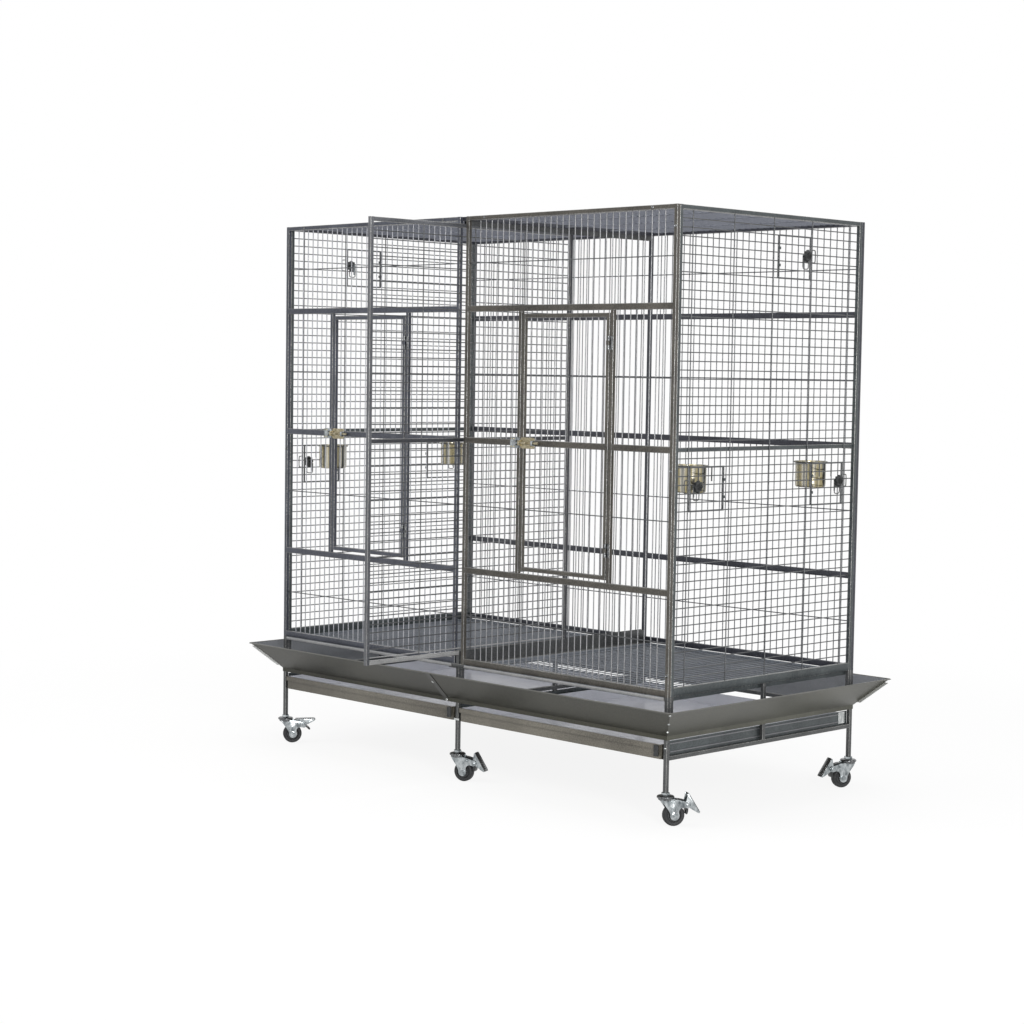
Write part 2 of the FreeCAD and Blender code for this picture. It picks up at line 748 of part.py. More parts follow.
def caster_fork():
    race_low = leg_z - race_play - race_h
    gap = wheel_w / 2 + fork_play
    reach = gap + fork_t
    back = -0.6 * race_r
    front = 0.9 * race_r
    px = caster_trail + brake_x
    pz = axle_z + brake_z
    eye = fork_eye / 2
    levels = [(race_r, race_low), (race_r, race_low + race_h / 2), (race_top_r, race_low + race_h)]
    rings = [ring_of(race_flat_count, r, (0, 0, z), (0, 0, 1)) for r, z in levels]
    race = Part.makeLoft(rings, True, True)
    crown = block(back, front, -gap, gap, race_low - crown_t, race_low)
    cheek = [(back, race_low), (front, race_low),
             (px + brake_arm, pz + brake_arm), (px + brake_arm, pz - eye), (px - brake_arm, pz - eye),
             (caster_trail + fork_eye, axle_z + 1.5 * fork_eye),
             (caster_trail + fork_waist, axle_z + fork_eye), (caster_trail + fork_eye, axle_z),
             (caster_trail + eye, axle_z - fork_eye), (caster_trail - eye, axle_z - fork_eye),
             (caster_trail - fork_eye, axle_z)]
    pieces = [crown]
    for y0 in (-reach, gap):
        pieces.append(prism([(cx, y0, cz) for cx, cz in cheek], (0, fork_t, 0)))
    pieces.append(bar(pin_flat_count, axle_r, (caster_trail, -reach, axle_z), (0, 2 * reach, 0)))
    pieces.append(bar(pin_flat_count, brake_pin_r, (px, -reach, pz), (0, 2 * reach, 0)))
    return race.multiFuse(pieces).removeSplitter()


def caster_wheel():
    half = wheel_w / 2
    tread = half - wheel_chamfer
    shoulder = wheel_r - wheel_chamfer
    rims = [(shoulder, -half), (wheel_r, -tread), (wheel_r, tread), (shoulder, half)]
    rings = [ring_of(wheel_flat_count, r, (caster_trail, w, axle_z), (0, 1, 0)) for r, w in rims]
    hole = bore(pin_flat_count, axle_r + axle_play, (caster_trail, -half, axle_z), (0, wheel_w, 0))
    return Part.makeLoft(rings, True, True).cut(hole)


def brake_pedal():
    px = caster_trail + brake_x
    pz = axle_z + brake_z
    x0 = px - pedal_back
    x1 = x0 + pedal_l
    z = pz + pedal_rise
    half = pedal_w / 2
    pieces = []
    for y0 in (-half, half - ear_t):
        ear = [(x0, z), (x1, z), (px + ear_end, pz - ear_end), (px - ear_end, pz - ear_end)]
        pieces.append(prism([(x, y0, h) for x, h in ear], (0, ear_t, 0)))
    hole = bore(pin_flat_count, brake_pin_r + brake_pin_play, (px, -half, pz), (0, pedal_w, 0))
    return block(x0, x1, -half, half, z, z + pedal_t).multiFuse(pieces).cut(hole).removeSplitter()


def caster(x, y, heading, pressed):
    pedal = brake_pedal()
    if pressed:
        pedal = turned(pedal, brake_turn, (caster_trail + brake_x, 0, axle_z + brake_z), (0, 1, 0))
    placed = []
    for shape in (caster_fork(), caster_wheel(), pedal):
        shape = turned(shape, heading)
        shape.translate(Vector(x, y, 0))
        placed.append(shape)
    return placed


os.makedirs("parts", exist_ok=True)
save("front_panel_left", front_panel(-bay_x))
save("front_panel_right", front_panel(bay_x))
save("back_panels", back_panels())
right_wall = side_panel()
save("side_panel_right", right_wall)
save("side_panel_left", opposite(right_wall))
save("roof_panels", roof_panels())
save("stand_frame", stand_frame())
save("runners", runners())
save("divider_tracks", divider_tracks())
save("door_hinges", fixed_hinges(-bay_x) + fixed_hinges(bay_x))
save("latch_keepers", [latch_keeper(-bay_x), latch_keeper(bay_x)])
cups = [feed_cup(-feeder_y), feed_cup(feeder_y)]
save("feed_cups", cups + opposite(cups))

for name, cx in (("left", -bay_x), ("right", bay_x)):
    save("door_" + name, inner_door(cx))
    save("latch_case_" + name, latch_case(cx))
    save("latch_bolt_" + name, latch_bolt(cx))
save("divider", divider())
save("grate_right", grate())
save("grate_left", [s.mirror(Vector(0, 0, 0), Vector(1, 0, 0)) for s in grate()])
save("tray_right", tray())
save("tray_left", [s.mirror(Vector(0, 0, 0), Vector(1, 0, 0)) for s in tray()])

for name, (y, row, hinge) in hatches().items():
    door = wire_door(y, row, hinge)
    knob = turn_knob(y, row, hinge)
    save(name + "_door_right", door)
    save(name + "_knob_right", knob)
    save(name + "_door_left", opposite(door))
    save(name + "_knob_left", opposite(knob))

corner_in, corner_out = mitre(side_x)
lap_in = guard_out + 2 * guard_hem
left_ends = (-corner_in, -corner_out, lap_in - guard_seam, -lap_in - guard_seam)
right_ends = (lap_in, -lap_in, corner_in, corner_out)
front_guards = [guard(side_x, cage_d / 2, ends) for ends in (left_ends, right_ends)]
save("seed_guard_front", front_guards)
save("seed_guard_back", opposite(front_guards))
end_in, end_out = mitre(cage_d / 2)
end_guard = turned(guard(cage_d / 2, side_x, (-end_in, -end_out, end_in, end_out)), 90)
save("seed_guard_right", [end_guard])
save("seed_guard_left", opposite([end_guard]))
strip = guard_strip(side_x, cage_d / 2)
save("guard_strips", [strip] + opposite([strip]))

spots = {"front_left": (-leg_x, -leg_y, 58, False), "front_centre": (0, -leg_y, 22, True),
         "front_right": (leg_x, -leg_y, 58, True), "back_left": (-leg_x, leg_y, 210, True),
         "back_centre": (0, leg_y, 235, True), "back_right": (leg_x, leg_y, 245, True)}
for name, (x, y, heading, pressed) in spots.items():
    fork, wheel, pedal = caster(x, y, heading, pressed)
    save("caster_fork_" + name, [fork])
    save("caster_wheel_" + name, [wheel])
    save("caster_brake_" + name, [pedal])
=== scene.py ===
import json
import math
import bmesh
import bpy
from mathutils import Matrix, Vector


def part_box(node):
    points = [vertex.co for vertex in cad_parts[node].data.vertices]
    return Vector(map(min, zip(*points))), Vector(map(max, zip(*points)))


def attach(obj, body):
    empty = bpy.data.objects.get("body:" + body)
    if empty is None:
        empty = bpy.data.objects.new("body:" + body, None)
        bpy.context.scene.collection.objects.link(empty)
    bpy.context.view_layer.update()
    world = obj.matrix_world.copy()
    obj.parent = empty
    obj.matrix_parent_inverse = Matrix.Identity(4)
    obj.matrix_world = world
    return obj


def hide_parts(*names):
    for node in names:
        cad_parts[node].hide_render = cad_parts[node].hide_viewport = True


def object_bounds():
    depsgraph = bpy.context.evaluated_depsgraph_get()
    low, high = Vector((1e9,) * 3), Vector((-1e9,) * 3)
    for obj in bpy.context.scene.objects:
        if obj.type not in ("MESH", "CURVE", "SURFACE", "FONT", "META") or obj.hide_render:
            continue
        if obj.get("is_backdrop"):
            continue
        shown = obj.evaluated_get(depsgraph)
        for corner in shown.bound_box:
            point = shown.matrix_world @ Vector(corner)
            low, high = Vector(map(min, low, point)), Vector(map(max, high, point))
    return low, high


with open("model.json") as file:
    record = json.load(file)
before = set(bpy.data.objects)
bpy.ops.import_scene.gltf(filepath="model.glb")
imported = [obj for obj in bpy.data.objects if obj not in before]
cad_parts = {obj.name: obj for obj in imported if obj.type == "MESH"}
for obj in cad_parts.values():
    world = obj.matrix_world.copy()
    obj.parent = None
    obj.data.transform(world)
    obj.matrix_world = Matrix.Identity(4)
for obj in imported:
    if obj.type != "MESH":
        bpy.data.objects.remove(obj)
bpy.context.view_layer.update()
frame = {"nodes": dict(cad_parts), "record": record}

nodes = frame["nodes"]
bodyOf = {}
for body, members in frame["record"]["behaviour"]["bodies"].items():
    for node in members:
        bodyOf[node] = body
mm = 0.001
scene = bpy.context.scene
scene.view_settings.view_transform = "Standard"
print("frame loaded:", len(nodes), "nodes")

# the cage's own places, read from its nodes
cageSizes = {"midRise": 709.7, "pitch": 25.4, "halfTube": 6.35}
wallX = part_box("side_panel_right")[1].x
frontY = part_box("front_panel_right")[0].y
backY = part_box("back_panels")[1].y
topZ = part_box("front_panel_right")[1].z
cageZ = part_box("front_panel_right")[0].z
midZ = cageZ + cageSizes["midRise"] * mm
halfTurn = Matrix.Rotation(math.pi, 4, "Z")


# selecting and finishing

def objectMode():
    if bpy.context.object and bpy.context.object.mode != "OBJECT":
        bpy.ops.object.mode_set(mode="OBJECT")


def pickNone():
    objectMode()
    bpy.ops.object.select_all(action="DESELECT")


def pickOnly(*pieces):
    pickNone()
    for piece in pieces:
        piece.select_set(True)
    bpy.context.view_layer.objects.active = pieces[0]


def editAll(piece):
    pickOnly(piece)
    bpy.ops.object.mode_set(mode="EDIT")
    bpy.ops.mesh.select_mode(type="VERT")
    bpy.ops.mesh.select_all(action="SELECT")


def pickParts(kind, test):
    bpy.ops.mesh.select_mode(type=kind)
    bpy.ops.mesh.select_all(action="DESELECT")
    data = bpy.context.edit_object.data
    shape = bmesh.from_edit_mesh(data)
    for part in shape.edges if kind == "EDGE" else shape.faces:
        part.select_set(bool(test(part)))
    shape.select_flush_mode()
    bmesh.update_edit_mesh(data)


sharpAngle = math.radians(28)


def sharp(edge):
    return len(edge.link_faces) == 2 and edge.calc_face_angle(0.0) > sharpAngle


def spanOf(edge, axis):
    return abs(edge.verts[0].co[axis] - edge.verts[1].co[axis])


def roundEdges(test, width, segments, **settings):
    pickParts("EDGE", test)
    bpy.ops.mesh.bevel(offset=width * mm, segments=segments, affect="EDGES", **settings)


def softenEdges(piece, width, segments=2):
    pickOnly(piece)
    bevel = piece.modifiers.new("softEdge", "BEVEL")
    bevel.width = width * mm
    bevel.segments = segments
    bevel.limit_method = "ANGLE"
    bevel.angle_limit = sharpAngle
    bpy.ops.object.modifier_apply(modifier=bevel.name)


def joined(name, pieces):
    pickOnly(*pieces)
    if len(pieces) > 1:
        bpy.ops.object.join()
    piece = bpy.context.object
    piece.name = name
    piece.data.name = name
    return piece


def copied(master, name, move):
    data = master.data.copy()
    data.transform(move)
    piece = bpy.data.objects.new(name, data)
    scene.collection.objects.link(piece)
    return piece


def dropped(*pieces):
    for piece in pieces:
        bpy.data.objects.remove(piece)


def dressFaces(piece, finishes, numberOf):
    piece.data.materials.clear()
    for finish in finishes:
        piece.data.materials.append(finish)
    for face in piece.data.polygons:
        face.material_index = int(numberOf(face))


def finished(piece, body, finish=None, stands=(), smooth=30):
    # a piece that comes without a finish already has its own
    pickOnly(piece)
    bpy.ops.object.transform_apply(location=True, rotation=True, scale=True)
    bpy.ops.object.shade_smooth_by_angle(angle=math.radians(smooth))
    if finish:
        piece.data.materials.clear()
        piece.data.materials.append(finish)
    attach(piece, body)
    if stands:
        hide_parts(*stands)
    return piece


# shaping, with sizes in millimetres

def spun(angle, axis):
    return Matrix.Rotation(math.radians(angle), 4, axis)


def blankDisc(name, sides, radius, filled=True):
    # left in edit mode with all of it selected
    pickNone()
    bpy.ops.mesh.primitive_circle_add(vertices=sides, radius=radius * mm, location=(0, 0, 0),
                                      fill_type="NGON" if filled else "NOTHING")
    piece = bpy.context.object
    piece.name = name
    editAll(piece)
    return piece


def facedOut(piece):
    bpy.ops.mesh.select_all(action="SELECT")
    bpy.ops.mesh.normals_make_consistent(inside=False)
    objectMode()
    return piece


def turnedPiece(name, outline, sides, hollow=False):
    # a circle drawn up step by step: outline is (radius, height)
    radius, height = outline[0]
    piece = blankDisc(name, sides, radius, not hollow)
    bpy.ops.transform.translate(value=(0, 0, height * mm))
    extrude = bpy.ops.mesh.extrude_edges_move if hollow else bpy.ops.mesh.extrude_region_move
    for nextRadius, nextHeight in outline[1:]:
        extrude(TRANSFORM_OT_translate={"value": (0, 0, (nextHeight - height) * mm)})
        grow = nextRadius / radius
        bpy.ops.transform.resize(value=(grow, grow, 1), center_override=(0, 0, nextHeight * mm))
        radius, height = nextRadius, nextHeight
    bpy.ops.mesh.select_all(action="SELECT")
    bpy.ops.mesh.remove_doubles(threshold=1e-6)
    return facedOut(piece)


def cutPlate(name, outline, thick, start):
    # a flat blank of any size, its rim moved to the outline in the XZ plane and drawn along Y
    piece = blankDisc(name, len(outline), 10)
    shape = bmesh.from_edit_mesh(piece.data)
    shape.verts.ensure_lookup_table()
    for vertex, (x, z) in zip(shape.verts, outline):
        vertex.co = (x * mm, start * mm, z * mm)
    bmesh.update_edit_mesh(piece.data)
    bpy.ops.mesh.extrude_region_move(TRANSFORM_OT_translate={"value": (0, thick * mm, 0)})
    return facedOut(piece)


def bar(name, low, high):
    pickNone()
    middle = [(a + b) / 2 * mm for a, b in zip(low, high)]
    bpy.ops.mesh.primitive_cube_add(size=1, location=middle)
    piece = bpy.context.object
    piece.name = name
    piece.scale = [abs(b - a) * mm for a, b in zip(low, high)]
    bpy.ops.object.transform_apply(location=True, rotation=True, scale=True)
    return piece


def bentWire(name, points, radius):
    # a wire drawn as a curve and made a mesh
    line = bpy.data.curves.new(name, "CURVE")
    line.dimensions = "3D"
    line.bevel_depth = radius * mm
    line.bevel_resolution = 1
    line.resolution_u = 5
    line.use_fill_caps = True
    spline = line.splines.new("NURBS")
    spline.points.add(len(points) - 1)
    for spot, place in zip(spline.points, points):
        spot.co = (place[0] * mm, place[1] * mm, place[2] * mm, 1)
    spline.order_u = 3
    spline.use_endpoint_u = True
    piece = bpy.data.objects.new(name, line)
    scene.collection.objects.link(piece)
    pickOnly(piece)
    bpy.ops.object.convert(target="MESH")
    return bpy.context.object


def arcPoints(cx, cz, radius, start, end, count):
    turns = [math.radians(start + (end - start) * i / (count - 1)) for i in range(count)]
    return [(cx + radius * math.cos(a), cz + radius * math.sin(a)) for a in turns]


# finishes

def fed(tree, node, inputs):
    # plain values are set on the sockets, and other nodes' sockets are linked to them
    for label, value in inputs.items():
        if isinstance(value, bpy.types.NodeSocket):
            tree.links.new(value, node.inputs[label])
        else:
            node.inputs[label].default_value = value
    return node


def added(tree, kind, inputs=None, **settings):
    node = tree.nodes.new("ShaderNode" + kind)
    for label, value in settings.items():
        setattr(node, label, value)
    return fed(tree, node, inputs or {})


def newGroup(name, inputs, outputs):
    group = bpy.data.node_groups.new(name, "ShaderNodeTree")
    for label, value in inputs.items():
        socket = group.interface.new_socket(label, in_out="INPUT", socket_type="NodeSocketFloat")
        socket.default_value = value
    for label in outputs:
        group.interface.new_socket(label, in_out="OUTPUT", socket_type="NodeSocketFloat")
    return group, group.nodes.new("NodeGroupInput").outputs, group.nodes.new("NodeGroupOutput")


def hammerGrainGroup():
    group, entry, leave = newGroup("hammerGrain", {"cells": 420.0, "clouds": 9.0}, ("mottle", "height"))
    place = added(group, "TexCoord").outputs["Object"]
    cells = added(group, "TexVoronoi", {"Vector": place, "Scale": entry["cells"], "Smoothness": 0.6},
                  feature="SMOOTH_F1").outputs["Distance"]
    clouds = added(group, "TexNoise", {"Vector": place, "Scale": entry["clouds"],
                                       "Detail": 3.0}).outputs["Fac"]
    fine = added(group, "TexNoise", {"Vector": place, "Scale": 1600.0, "Detail": 1.0}).outputs["Fac"]
    vein = added(group, "MapRange", {"Value": cells, "From Min": 0.15, "From Max": 0.65}).outputs["Result"]
    soft = added(group, "MapRange", {"Value": clouds, "From Min": 0.3, "From Max": 0.7, "To Max": 0.55})
    mottle = added(group, "Math", {0: vein, 1: 0.45, 2: soft.outputs["Result"]}, operation="MULTIPLY_ADD")
    height = added(group, "Math", {0: cells, 1: 0.8, 2: fine}, operation="MULTIPLY_ADD")
    fed(group, leave, {"mottle": mottle.outputs["Value"], "height": height.outputs["Value"]})
    return group


def drawnLinesGroup():
    # fine lines left by drawing or polishing, stretched along one axis
    group, entry, leave = newGroup("drawnLines", {"across": 900.0, "along": 30.0}, ("lines", "clouds"))
    place = added(group, "TexCoord").outputs["Object"]
    stretch = added(group, "CombineXYZ", {"X": entry["across"], "Y": entry["across"], "Z": entry["along"]})
    scaled = added(group, "VectorMath", {0: place, 1: stretch.outputs["Vector"]}, operation="MULTIPLY")
    lines = added(group, "TexNoise", {"Vector": scaled.outputs["Vector"], "Scale": 1.0, "Detail": 4.0})
    clouds = added(group, "TexNoise", {"Vector": place, "Scale": 60.0, "Detail": 3.0})
    clear = added(group, "MapRange", {"Value": lines.outputs["Fac"], "From Min": 0.32, "From Max": 0.68})
    fed(group, leave, {"lines": clear.outputs["Result"], "clouds": clouds.outputs["Fac"]})
    return group


def scuffGroup():
    # worn patches and thin dust, larger and softer than the grain
    group, entry, leave = newGroup("scuffs", {"size": 14.0, "amount": 0.55}, ("worn",))
    place = added(group, "TexCoord").outputs["Object"]
    patches = added(group, "TexNoise",
                    {"Vector": place, "Scale": entry["size"], "Detail": 6.0, "Roughness": 0.62})
    cut = added(group, "MapRange",
                {"Value": patches.outputs["Fac"], "From Min": entry["amount"], "From Max": 0.85})
    fed(group, leave, {"worn": cut.outputs["Result"]})
    return group


hammerGrain = hammerGrainGroup()
drawnLines = drawnLinesGroup()
scuffs = scuffGroup()


def blended(tree, factor, first, second):
    tones = [(*tone, 1) if isinstance(tone, tuple) else tone for tone in (first, second)]
    mix = added(tree, "Mix", {"Factor": factor, "A": tones[0], "B": tones[1]}, data_type="RGBA")
    return mix.outputs["Result"]


def ranged(tree, value, low, high):
    return added(tree, "MapRange", {"Value": value, "To Min": low, "To Max": high}).outputs["Result"]


def bumped(tree, height, strength, distance):
    inputs = {"Height": height, "Strength": strength, "Distance": distance}
    return added(tree, "Bump", inputs).outputs["Normal"]


def newFinish(name):
    finish = bpy.data.materials.new(name)
    finish.use_nodes = True
    tree = finish.node_tree
    return finish, tree, tree.nodes["Principled BSDF"]


# shares of wear, depths of the grain in metres, and the rest that finishes of a kind have in common
surfaceSizes = {"coatWear": 0.56, "otherWear": 0.5, "coatDepth": 0.0004, "otherDepth": 0.0002,
                "coatRough": 0.25, "mouldClouds": 30.0}


def grouped(tree, group, **values):
    return added(tree, "Group", values, node_tree=group).outputs


def coatFinish(name, look):
    # stoved hammer coat on steel
    finish, tree, shader = newFinish(name)
    s = surfaceSizes
    grain = grouped(tree, hammerGrain, cells=look["cells"], clouds=look["clouds"])
    wear = grouped(tree, scuffs, size=look["scuffSize"], amount=s["coatWear"])
    worn = blended(tree, wear["worn"], look["light"], look["dust"])
    fed(tree, shader, {"Base Color": blended(tree, grain["mottle"], look["dark"], worn),
                       "Roughness": ranged(tree, grain["mottle"], *look["rough"]),
                       "Normal": bumped(tree, grain["height"], look["bump"], s["coatDepth"]),
                       "Metallic": look["metallic"], "Specular IOR Level": look["specular"],
                       "Coat Weight": look["coat"], "Coat Roughness": s["coatRough"]})
    return finish


def metalFinish(name, look):
    finish, tree, shader = newFinish(name)
    s = surfaceSizes
    lines = grouped(tree, drawnLines, across=look["across"], along=look["along"])
    wear = grouped(tree, scuffs, size=look["scuffSize"], amount=s["otherWear"])
    stain = blended(tree, wear["worn"], look["light"], look["stain"])
    fed(tree, shader, {"Base Color": blended(tree, lines["lines"], look["dark"], stain),
                       "Roughness": ranged(tree, lines["clouds"], *look["rough"]),
                       "Normal": bumped(tree, lines["lines"], look["bump"], s["otherDepth"]),
                       "Metallic": 1.0})
    return finish


def mouldedFinish(name, look):
    # rubber and moulded plastic
    finish, tree, shader = newFinish(name)
    s = surfaceSizes
    grain = grouped(tree, hammerGrain, cells=look["cells"], clouds=s["mouldClouds"])
    wear = grouped(tree, scuffs, size=look["scuffSize"], amount=s["otherWear"])
    fed(tree, shader, {"Base Color": blended(tree, wear["worn"], look["dark"], look["dust"]),
                       "Roughness": ranged(tree, grain["mottle"], *look["rough"]),
                       "Normal": bumped(tree, grain["height"], look["bump"], s["otherDepth"])})
    return finish


def reflectionBandFinish(name, look):
    # polished steel with painted reflections: its bright, dark and warm bands standing round the wall of the
    # cup
    finish, tree, shader = newFinish(name)
    wrap = added(tree, "UVMap", uv_map="aroundWall").outputs["UV"]
    stretch = added(tree, "Mapping", {"Vector": wrap, "Scale": (look["reflectionBands"], look["lean"], 1.0)})
    noise = added(tree, "TexNoise", {"Vector": stretch.outputs["Vector"], "Scale": 1.6, "Detail": 2.0})
    reflectionBands = noise.outputs["Fac"]
    ramp = added(tree, "ValToRGB", {"Fac": reflectionBands})
    stops = ramp.color_ramp.elements
    while len(stops) < len(look["tones"]):
        stops.new(0.5)
    for stop, (place, tone) in zip(stops, look["tones"]):
        stop.position = place
        stop.color = (*tone, 1)
    fed(tree, shader, {"Base Color": ramp.outputs["Color"], "Roughness": ranged(tree, reflectionBands, *look["rough"]),
                       "Metallic": look["metallic"]})
    return finish


hammered = {"cells": 250.0, "clouds": 9.0, "scuffSize": 22.0, "rough": (0.3, 0.46), "bump": 0.22,
            "metallic": 0.4, "coat": 0.2, "specular": 0.5}
highlightEdgeGround = {**hammered, "rough": (0.2, 0.3), "metallic": 0.6}
drawnWire = {**hammered, "rough": (0.26, 0.38), "metallic": 0.5}
sheeted = {"cells": 380.0, "clouds": 5.0, "scuffSize": 9.0, "rough": (0.28, 0.4), "bump": 0.14,
           "metallic": 0.3, "coat": 0.12, "specular": 0.5}
# the large soft clouds of the guard sheets are painted reflection: light and dark patches standing for
# mirrored surroundings
guardSheet = {**sheeted, "clouds": 2.3, "specular": 0.4}
shadedSheet = {**sheeted, "clouds": 1.9, "specular": 0.22, "coat": 0.05}
traySheet = {**sheeted, "clouds": 3.0, "specular": 0.4}
smoothSheet = {**sheeted, "rough": (0.16, 0.26), "bump": 0.04}

# each coat's ground, then its tones in the dimples, on the grain, and where it is worn or dusty
coatTones = {"frame": (hammered, (0.026, 0.028, 0.03), (0.125, 0.129, 0.13), (0.19, 0.19, 0.186)),
             # brown-tinted copy of the cage coat for the right front panel and door, a painted reflection
             # tint
             "front": (hammered, (0.023, 0.021, 0.018), (0.128, 0.118, 0.1), (0.19, 0.177, 0.155)),
             "cool": (hammered, (0.016, 0.018, 0.029), (0.098, 0.107, 0.137), (0.16, 0.169, 0.2)),
             # teal-tinted copy of the cage coat for the side panels and runners, a painted reflection tint
             "side": (hammered, (0.02, 0.025, 0.027), (0.1, 0.117, 0.122), (0.15, 0.168, 0.17)),
             "back": (hammered, (0.014, 0.015, 0.021), (0.07, 0.074, 0.092), (0.11, 0.112, 0.122)),
             # pale coat on the rounded tube edges, a painted highlight along them
             "edge": (highlightEdgeGround, (0.17, 0.17, 0.166), (0.37, 0.37, 0.36), (0.44, 0.435, 0.42)),
             "wire": (drawnWire, (0.13, 0.134, 0.145), (0.23, 0.234, 0.248), (0.3, 0.3, 0.31)),
             # pale coats for the front panels' upright wires: painted highlight
             "uprightHighlight": (drawnWire, (0.29, 0.297, 0.325), (0.48, 0.488, 0.52), (0.55, 0.555, 0.57)),
             "rightWireHighlight": (drawnWire, (0.2, 0.202, 0.212), (0.345, 0.348, 0.36), (0.42, 0.42, 0.425)),
             # dark wire coat; on the front panels' horizontal cross wires it is painted shade
             "sideWire": (drawnWire, (0.06, 0.064, 0.068), (0.125, 0.13, 0.136), (0.17, 0.17, 0.17)),
             "roof": (hammered, (0.142, 0.154, 0.193), (0.228, 0.244, 0.294), (0.28, 0.294, 0.33)),
             "grate": (hammered, (0.146, 0.162, 0.184), (0.244, 0.264, 0.295), (0.3, 0.318, 0.344)),
             "divider": (hammered, (0.016, 0.017, 0.022), (0.075, 0.078, 0.09), (0.11, 0.11, 0.115)),
             # lighter copy of the divider coat for its front stile and top rail, painted light
             "stile": (hammered, (0.068, 0.072, 0.082), (0.19, 0.197, 0.216), (0.25, 0.255, 0.265)),
             # near-white coat for the divider's foot rail and the grates' front bars, a painted highlight
             "pale": (hammered, (0.3, 0.305, 0.31), (0.52, 0.52, 0.52), (0.58, 0.575, 0.56)),
             "guard": (guardSheet, (0.022, 0.023, 0.016), (0.135, 0.135, 0.107), (0.17, 0.168, 0.14)),
             # darker copy of the guard coat for the front guard, painted shade
             "guardFrontShaded": (shadedSheet, (0.008, 0.008, 0.006), (0.1, 0.099, 0.078), (0.13, 0.127, 0.105)),
             # pale copy of the guard coat for the guards' inner faces, painted light
             "guardInsideLit": (sheeted, (0.13, 0.137, 0.152), (0.2, 0.21, 0.228), (0.25, 0.256, 0.265)),
             # near-black coat for the strip over the guard seam, a painted shade of the seam
             "lap": (sheeted, (0.016, 0.016, 0.014), (0.05, 0.05, 0.042), (0.08, 0.08, 0.07)),
             # lighter coat for the rolled hems on the guard lips, a painted highlight
             "hem": (sheeted, (0.09, 0.09, 0.08), (0.2, 0.2, 0.184), (0.25, 0.25, 0.235)),
             "tray": (traySheet, (0.022, 0.02, 0.015), (0.3, 0.28, 0.235), (0.35, 0.33, 0.285)),
             # pale lavender coat for the trays' inner faces, a painted reflection of the bright surroundings
             "trayInsideReflection": (smoothSheet, (0.58, 0.59, 0.64), (0.74, 0.75, 0.8), (0.78, 0.785, 0.81)),
             "strip": (sheeted, (0.5, 0.51, 0.5), (0.78, 0.785, 0.77), (0.84, 0.84, 0.82))}
coats = {}
for name, (ground, dark, light, dust) in coatTones.items():
    coats[name] = coatFinish(name + "Coat", {**ground, "dark": dark, "light": light, "dust": dust})

zincLook = {"dark": (0.15, 0.17, 0.18), "light": (0.54, 0.57, 0.58), "stain": (0.34, 0.37, 0.38),
            "across": 90.0, "along": 60.0, "scuffSize": 60.0, "rough": (0.16, 0.32), "bump": 0.03}
brightLook = {**zincLook, "dark": (0.36, 0.38, 0.38), "light": (0.74, 0.75, 0.74),
              "stain": (0.56, 0.57, 0.56)}
steelLook = {"dark": (0.07, 0.074, 0.078), "light": (0.25, 0.256, 0.26), "stain": (0.16, 0.162, 0.16),
             "across": 160.0, "along": 90.0, "scuffSize": 60.0, "rough": (0.2, 0.34), "bump": 0.03}
brassLook = {"dark": (0.2, 0.172, 0.105), "light": (0.56, 0.5, 0.36), "stain": (0.36, 0.325, 0.24),
             "across": 200.0, "along": 500.0, "scuffSize": 90.0, "rough": (0.28, 0.46), "bump": 0.08}
# painted reflection bands on the cups, warm where the brass latches are mirrored
cupLook = {"reflectionBands": 7.0, "lean": 0.07, "rough": (0.12, 0.22), "metallic": 0.9,
           "tones": ((0.36, (0.05, 0.052, 0.05)), (0.44, (0.2, 0.2, 0.185)), (0.5, (0.36, 0.31, 0.17)),
                     (0.57, (0.66, 0.62, 0.52)), (0.66, (0.3, 0.295, 0.27)))}
knobLook = {"dark": (0.02, 0.022, 0.023), "dust": (0.07, 0.076, 0.078), "cells": 900.0, "scuffSize": 120.0,
            "rough": (0.24, 0.4), "bump": 0.12}
tyreLook = {"dark": (0.022, 0.023, 0.025), "dust": (0.06, 0.06, 0.06), "cells": 1100.0, "scuffSize": 70.0,
            "rough": (0.5, 0.7), "bump": 0.25}
hubLook = {"dark": (0.05, 0.052, 0.055), "dust": (0.09, 0.09, 0.09), "cells": 1200.0, "scuffSize": 90.0,
           "rough": (0.4, 0.55), "bump": 0.1}
zincPlate = metalFinish("zincPlate", zincLook)
brightPlate = metalFinish("brightPlate", brightLook)
darkSteel = metalFinish("darkSteel", steelLook)
brassPlate = metalFinish("brassPlate", brassLook)
cupReflectionSteel = reflectionBandFinish("cupReflectionSteel", cupLook)
blackKnob = mouldedFinish("blackKnob", knobLook)
blackTyre = mouldedFinish("blackTyre", tyreLook)
greyHub = mouldedFinish("greyHub", hubLook)
print("finishes made:", len(bpy.data.materials))


# panels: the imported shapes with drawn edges

edgeLook = {"tubeFrom": 5.0, "tubeEdge": 1.2, "tubeReach": 27.0, "wireFrom": 2.5, "wireShare": 0.42,
            "wireReach": 8.8, "plateShare": 0.22}
# bars and wires that get a finish of their own are known by their boxes
barSizes = {"long": 500.0, "stileFront": -800.0, "topRail": 1730.0, "footRail": 430.0, "grateFront": -430.0,
            "crossLength": 150.0, "crossThick": 6.0, "ringWire": 5.0, "ringAcross": 90.0}
latchLook = {"plateRound": 8.0, "lugRound": 4.0, "edge": 0.4, "silverEnd": 15.0, "plateThick": 1.5,
             "plateEnd": 16.0, "lugLength": 5.0, "lugProud": 6.0, "lugEnd": 5.0}


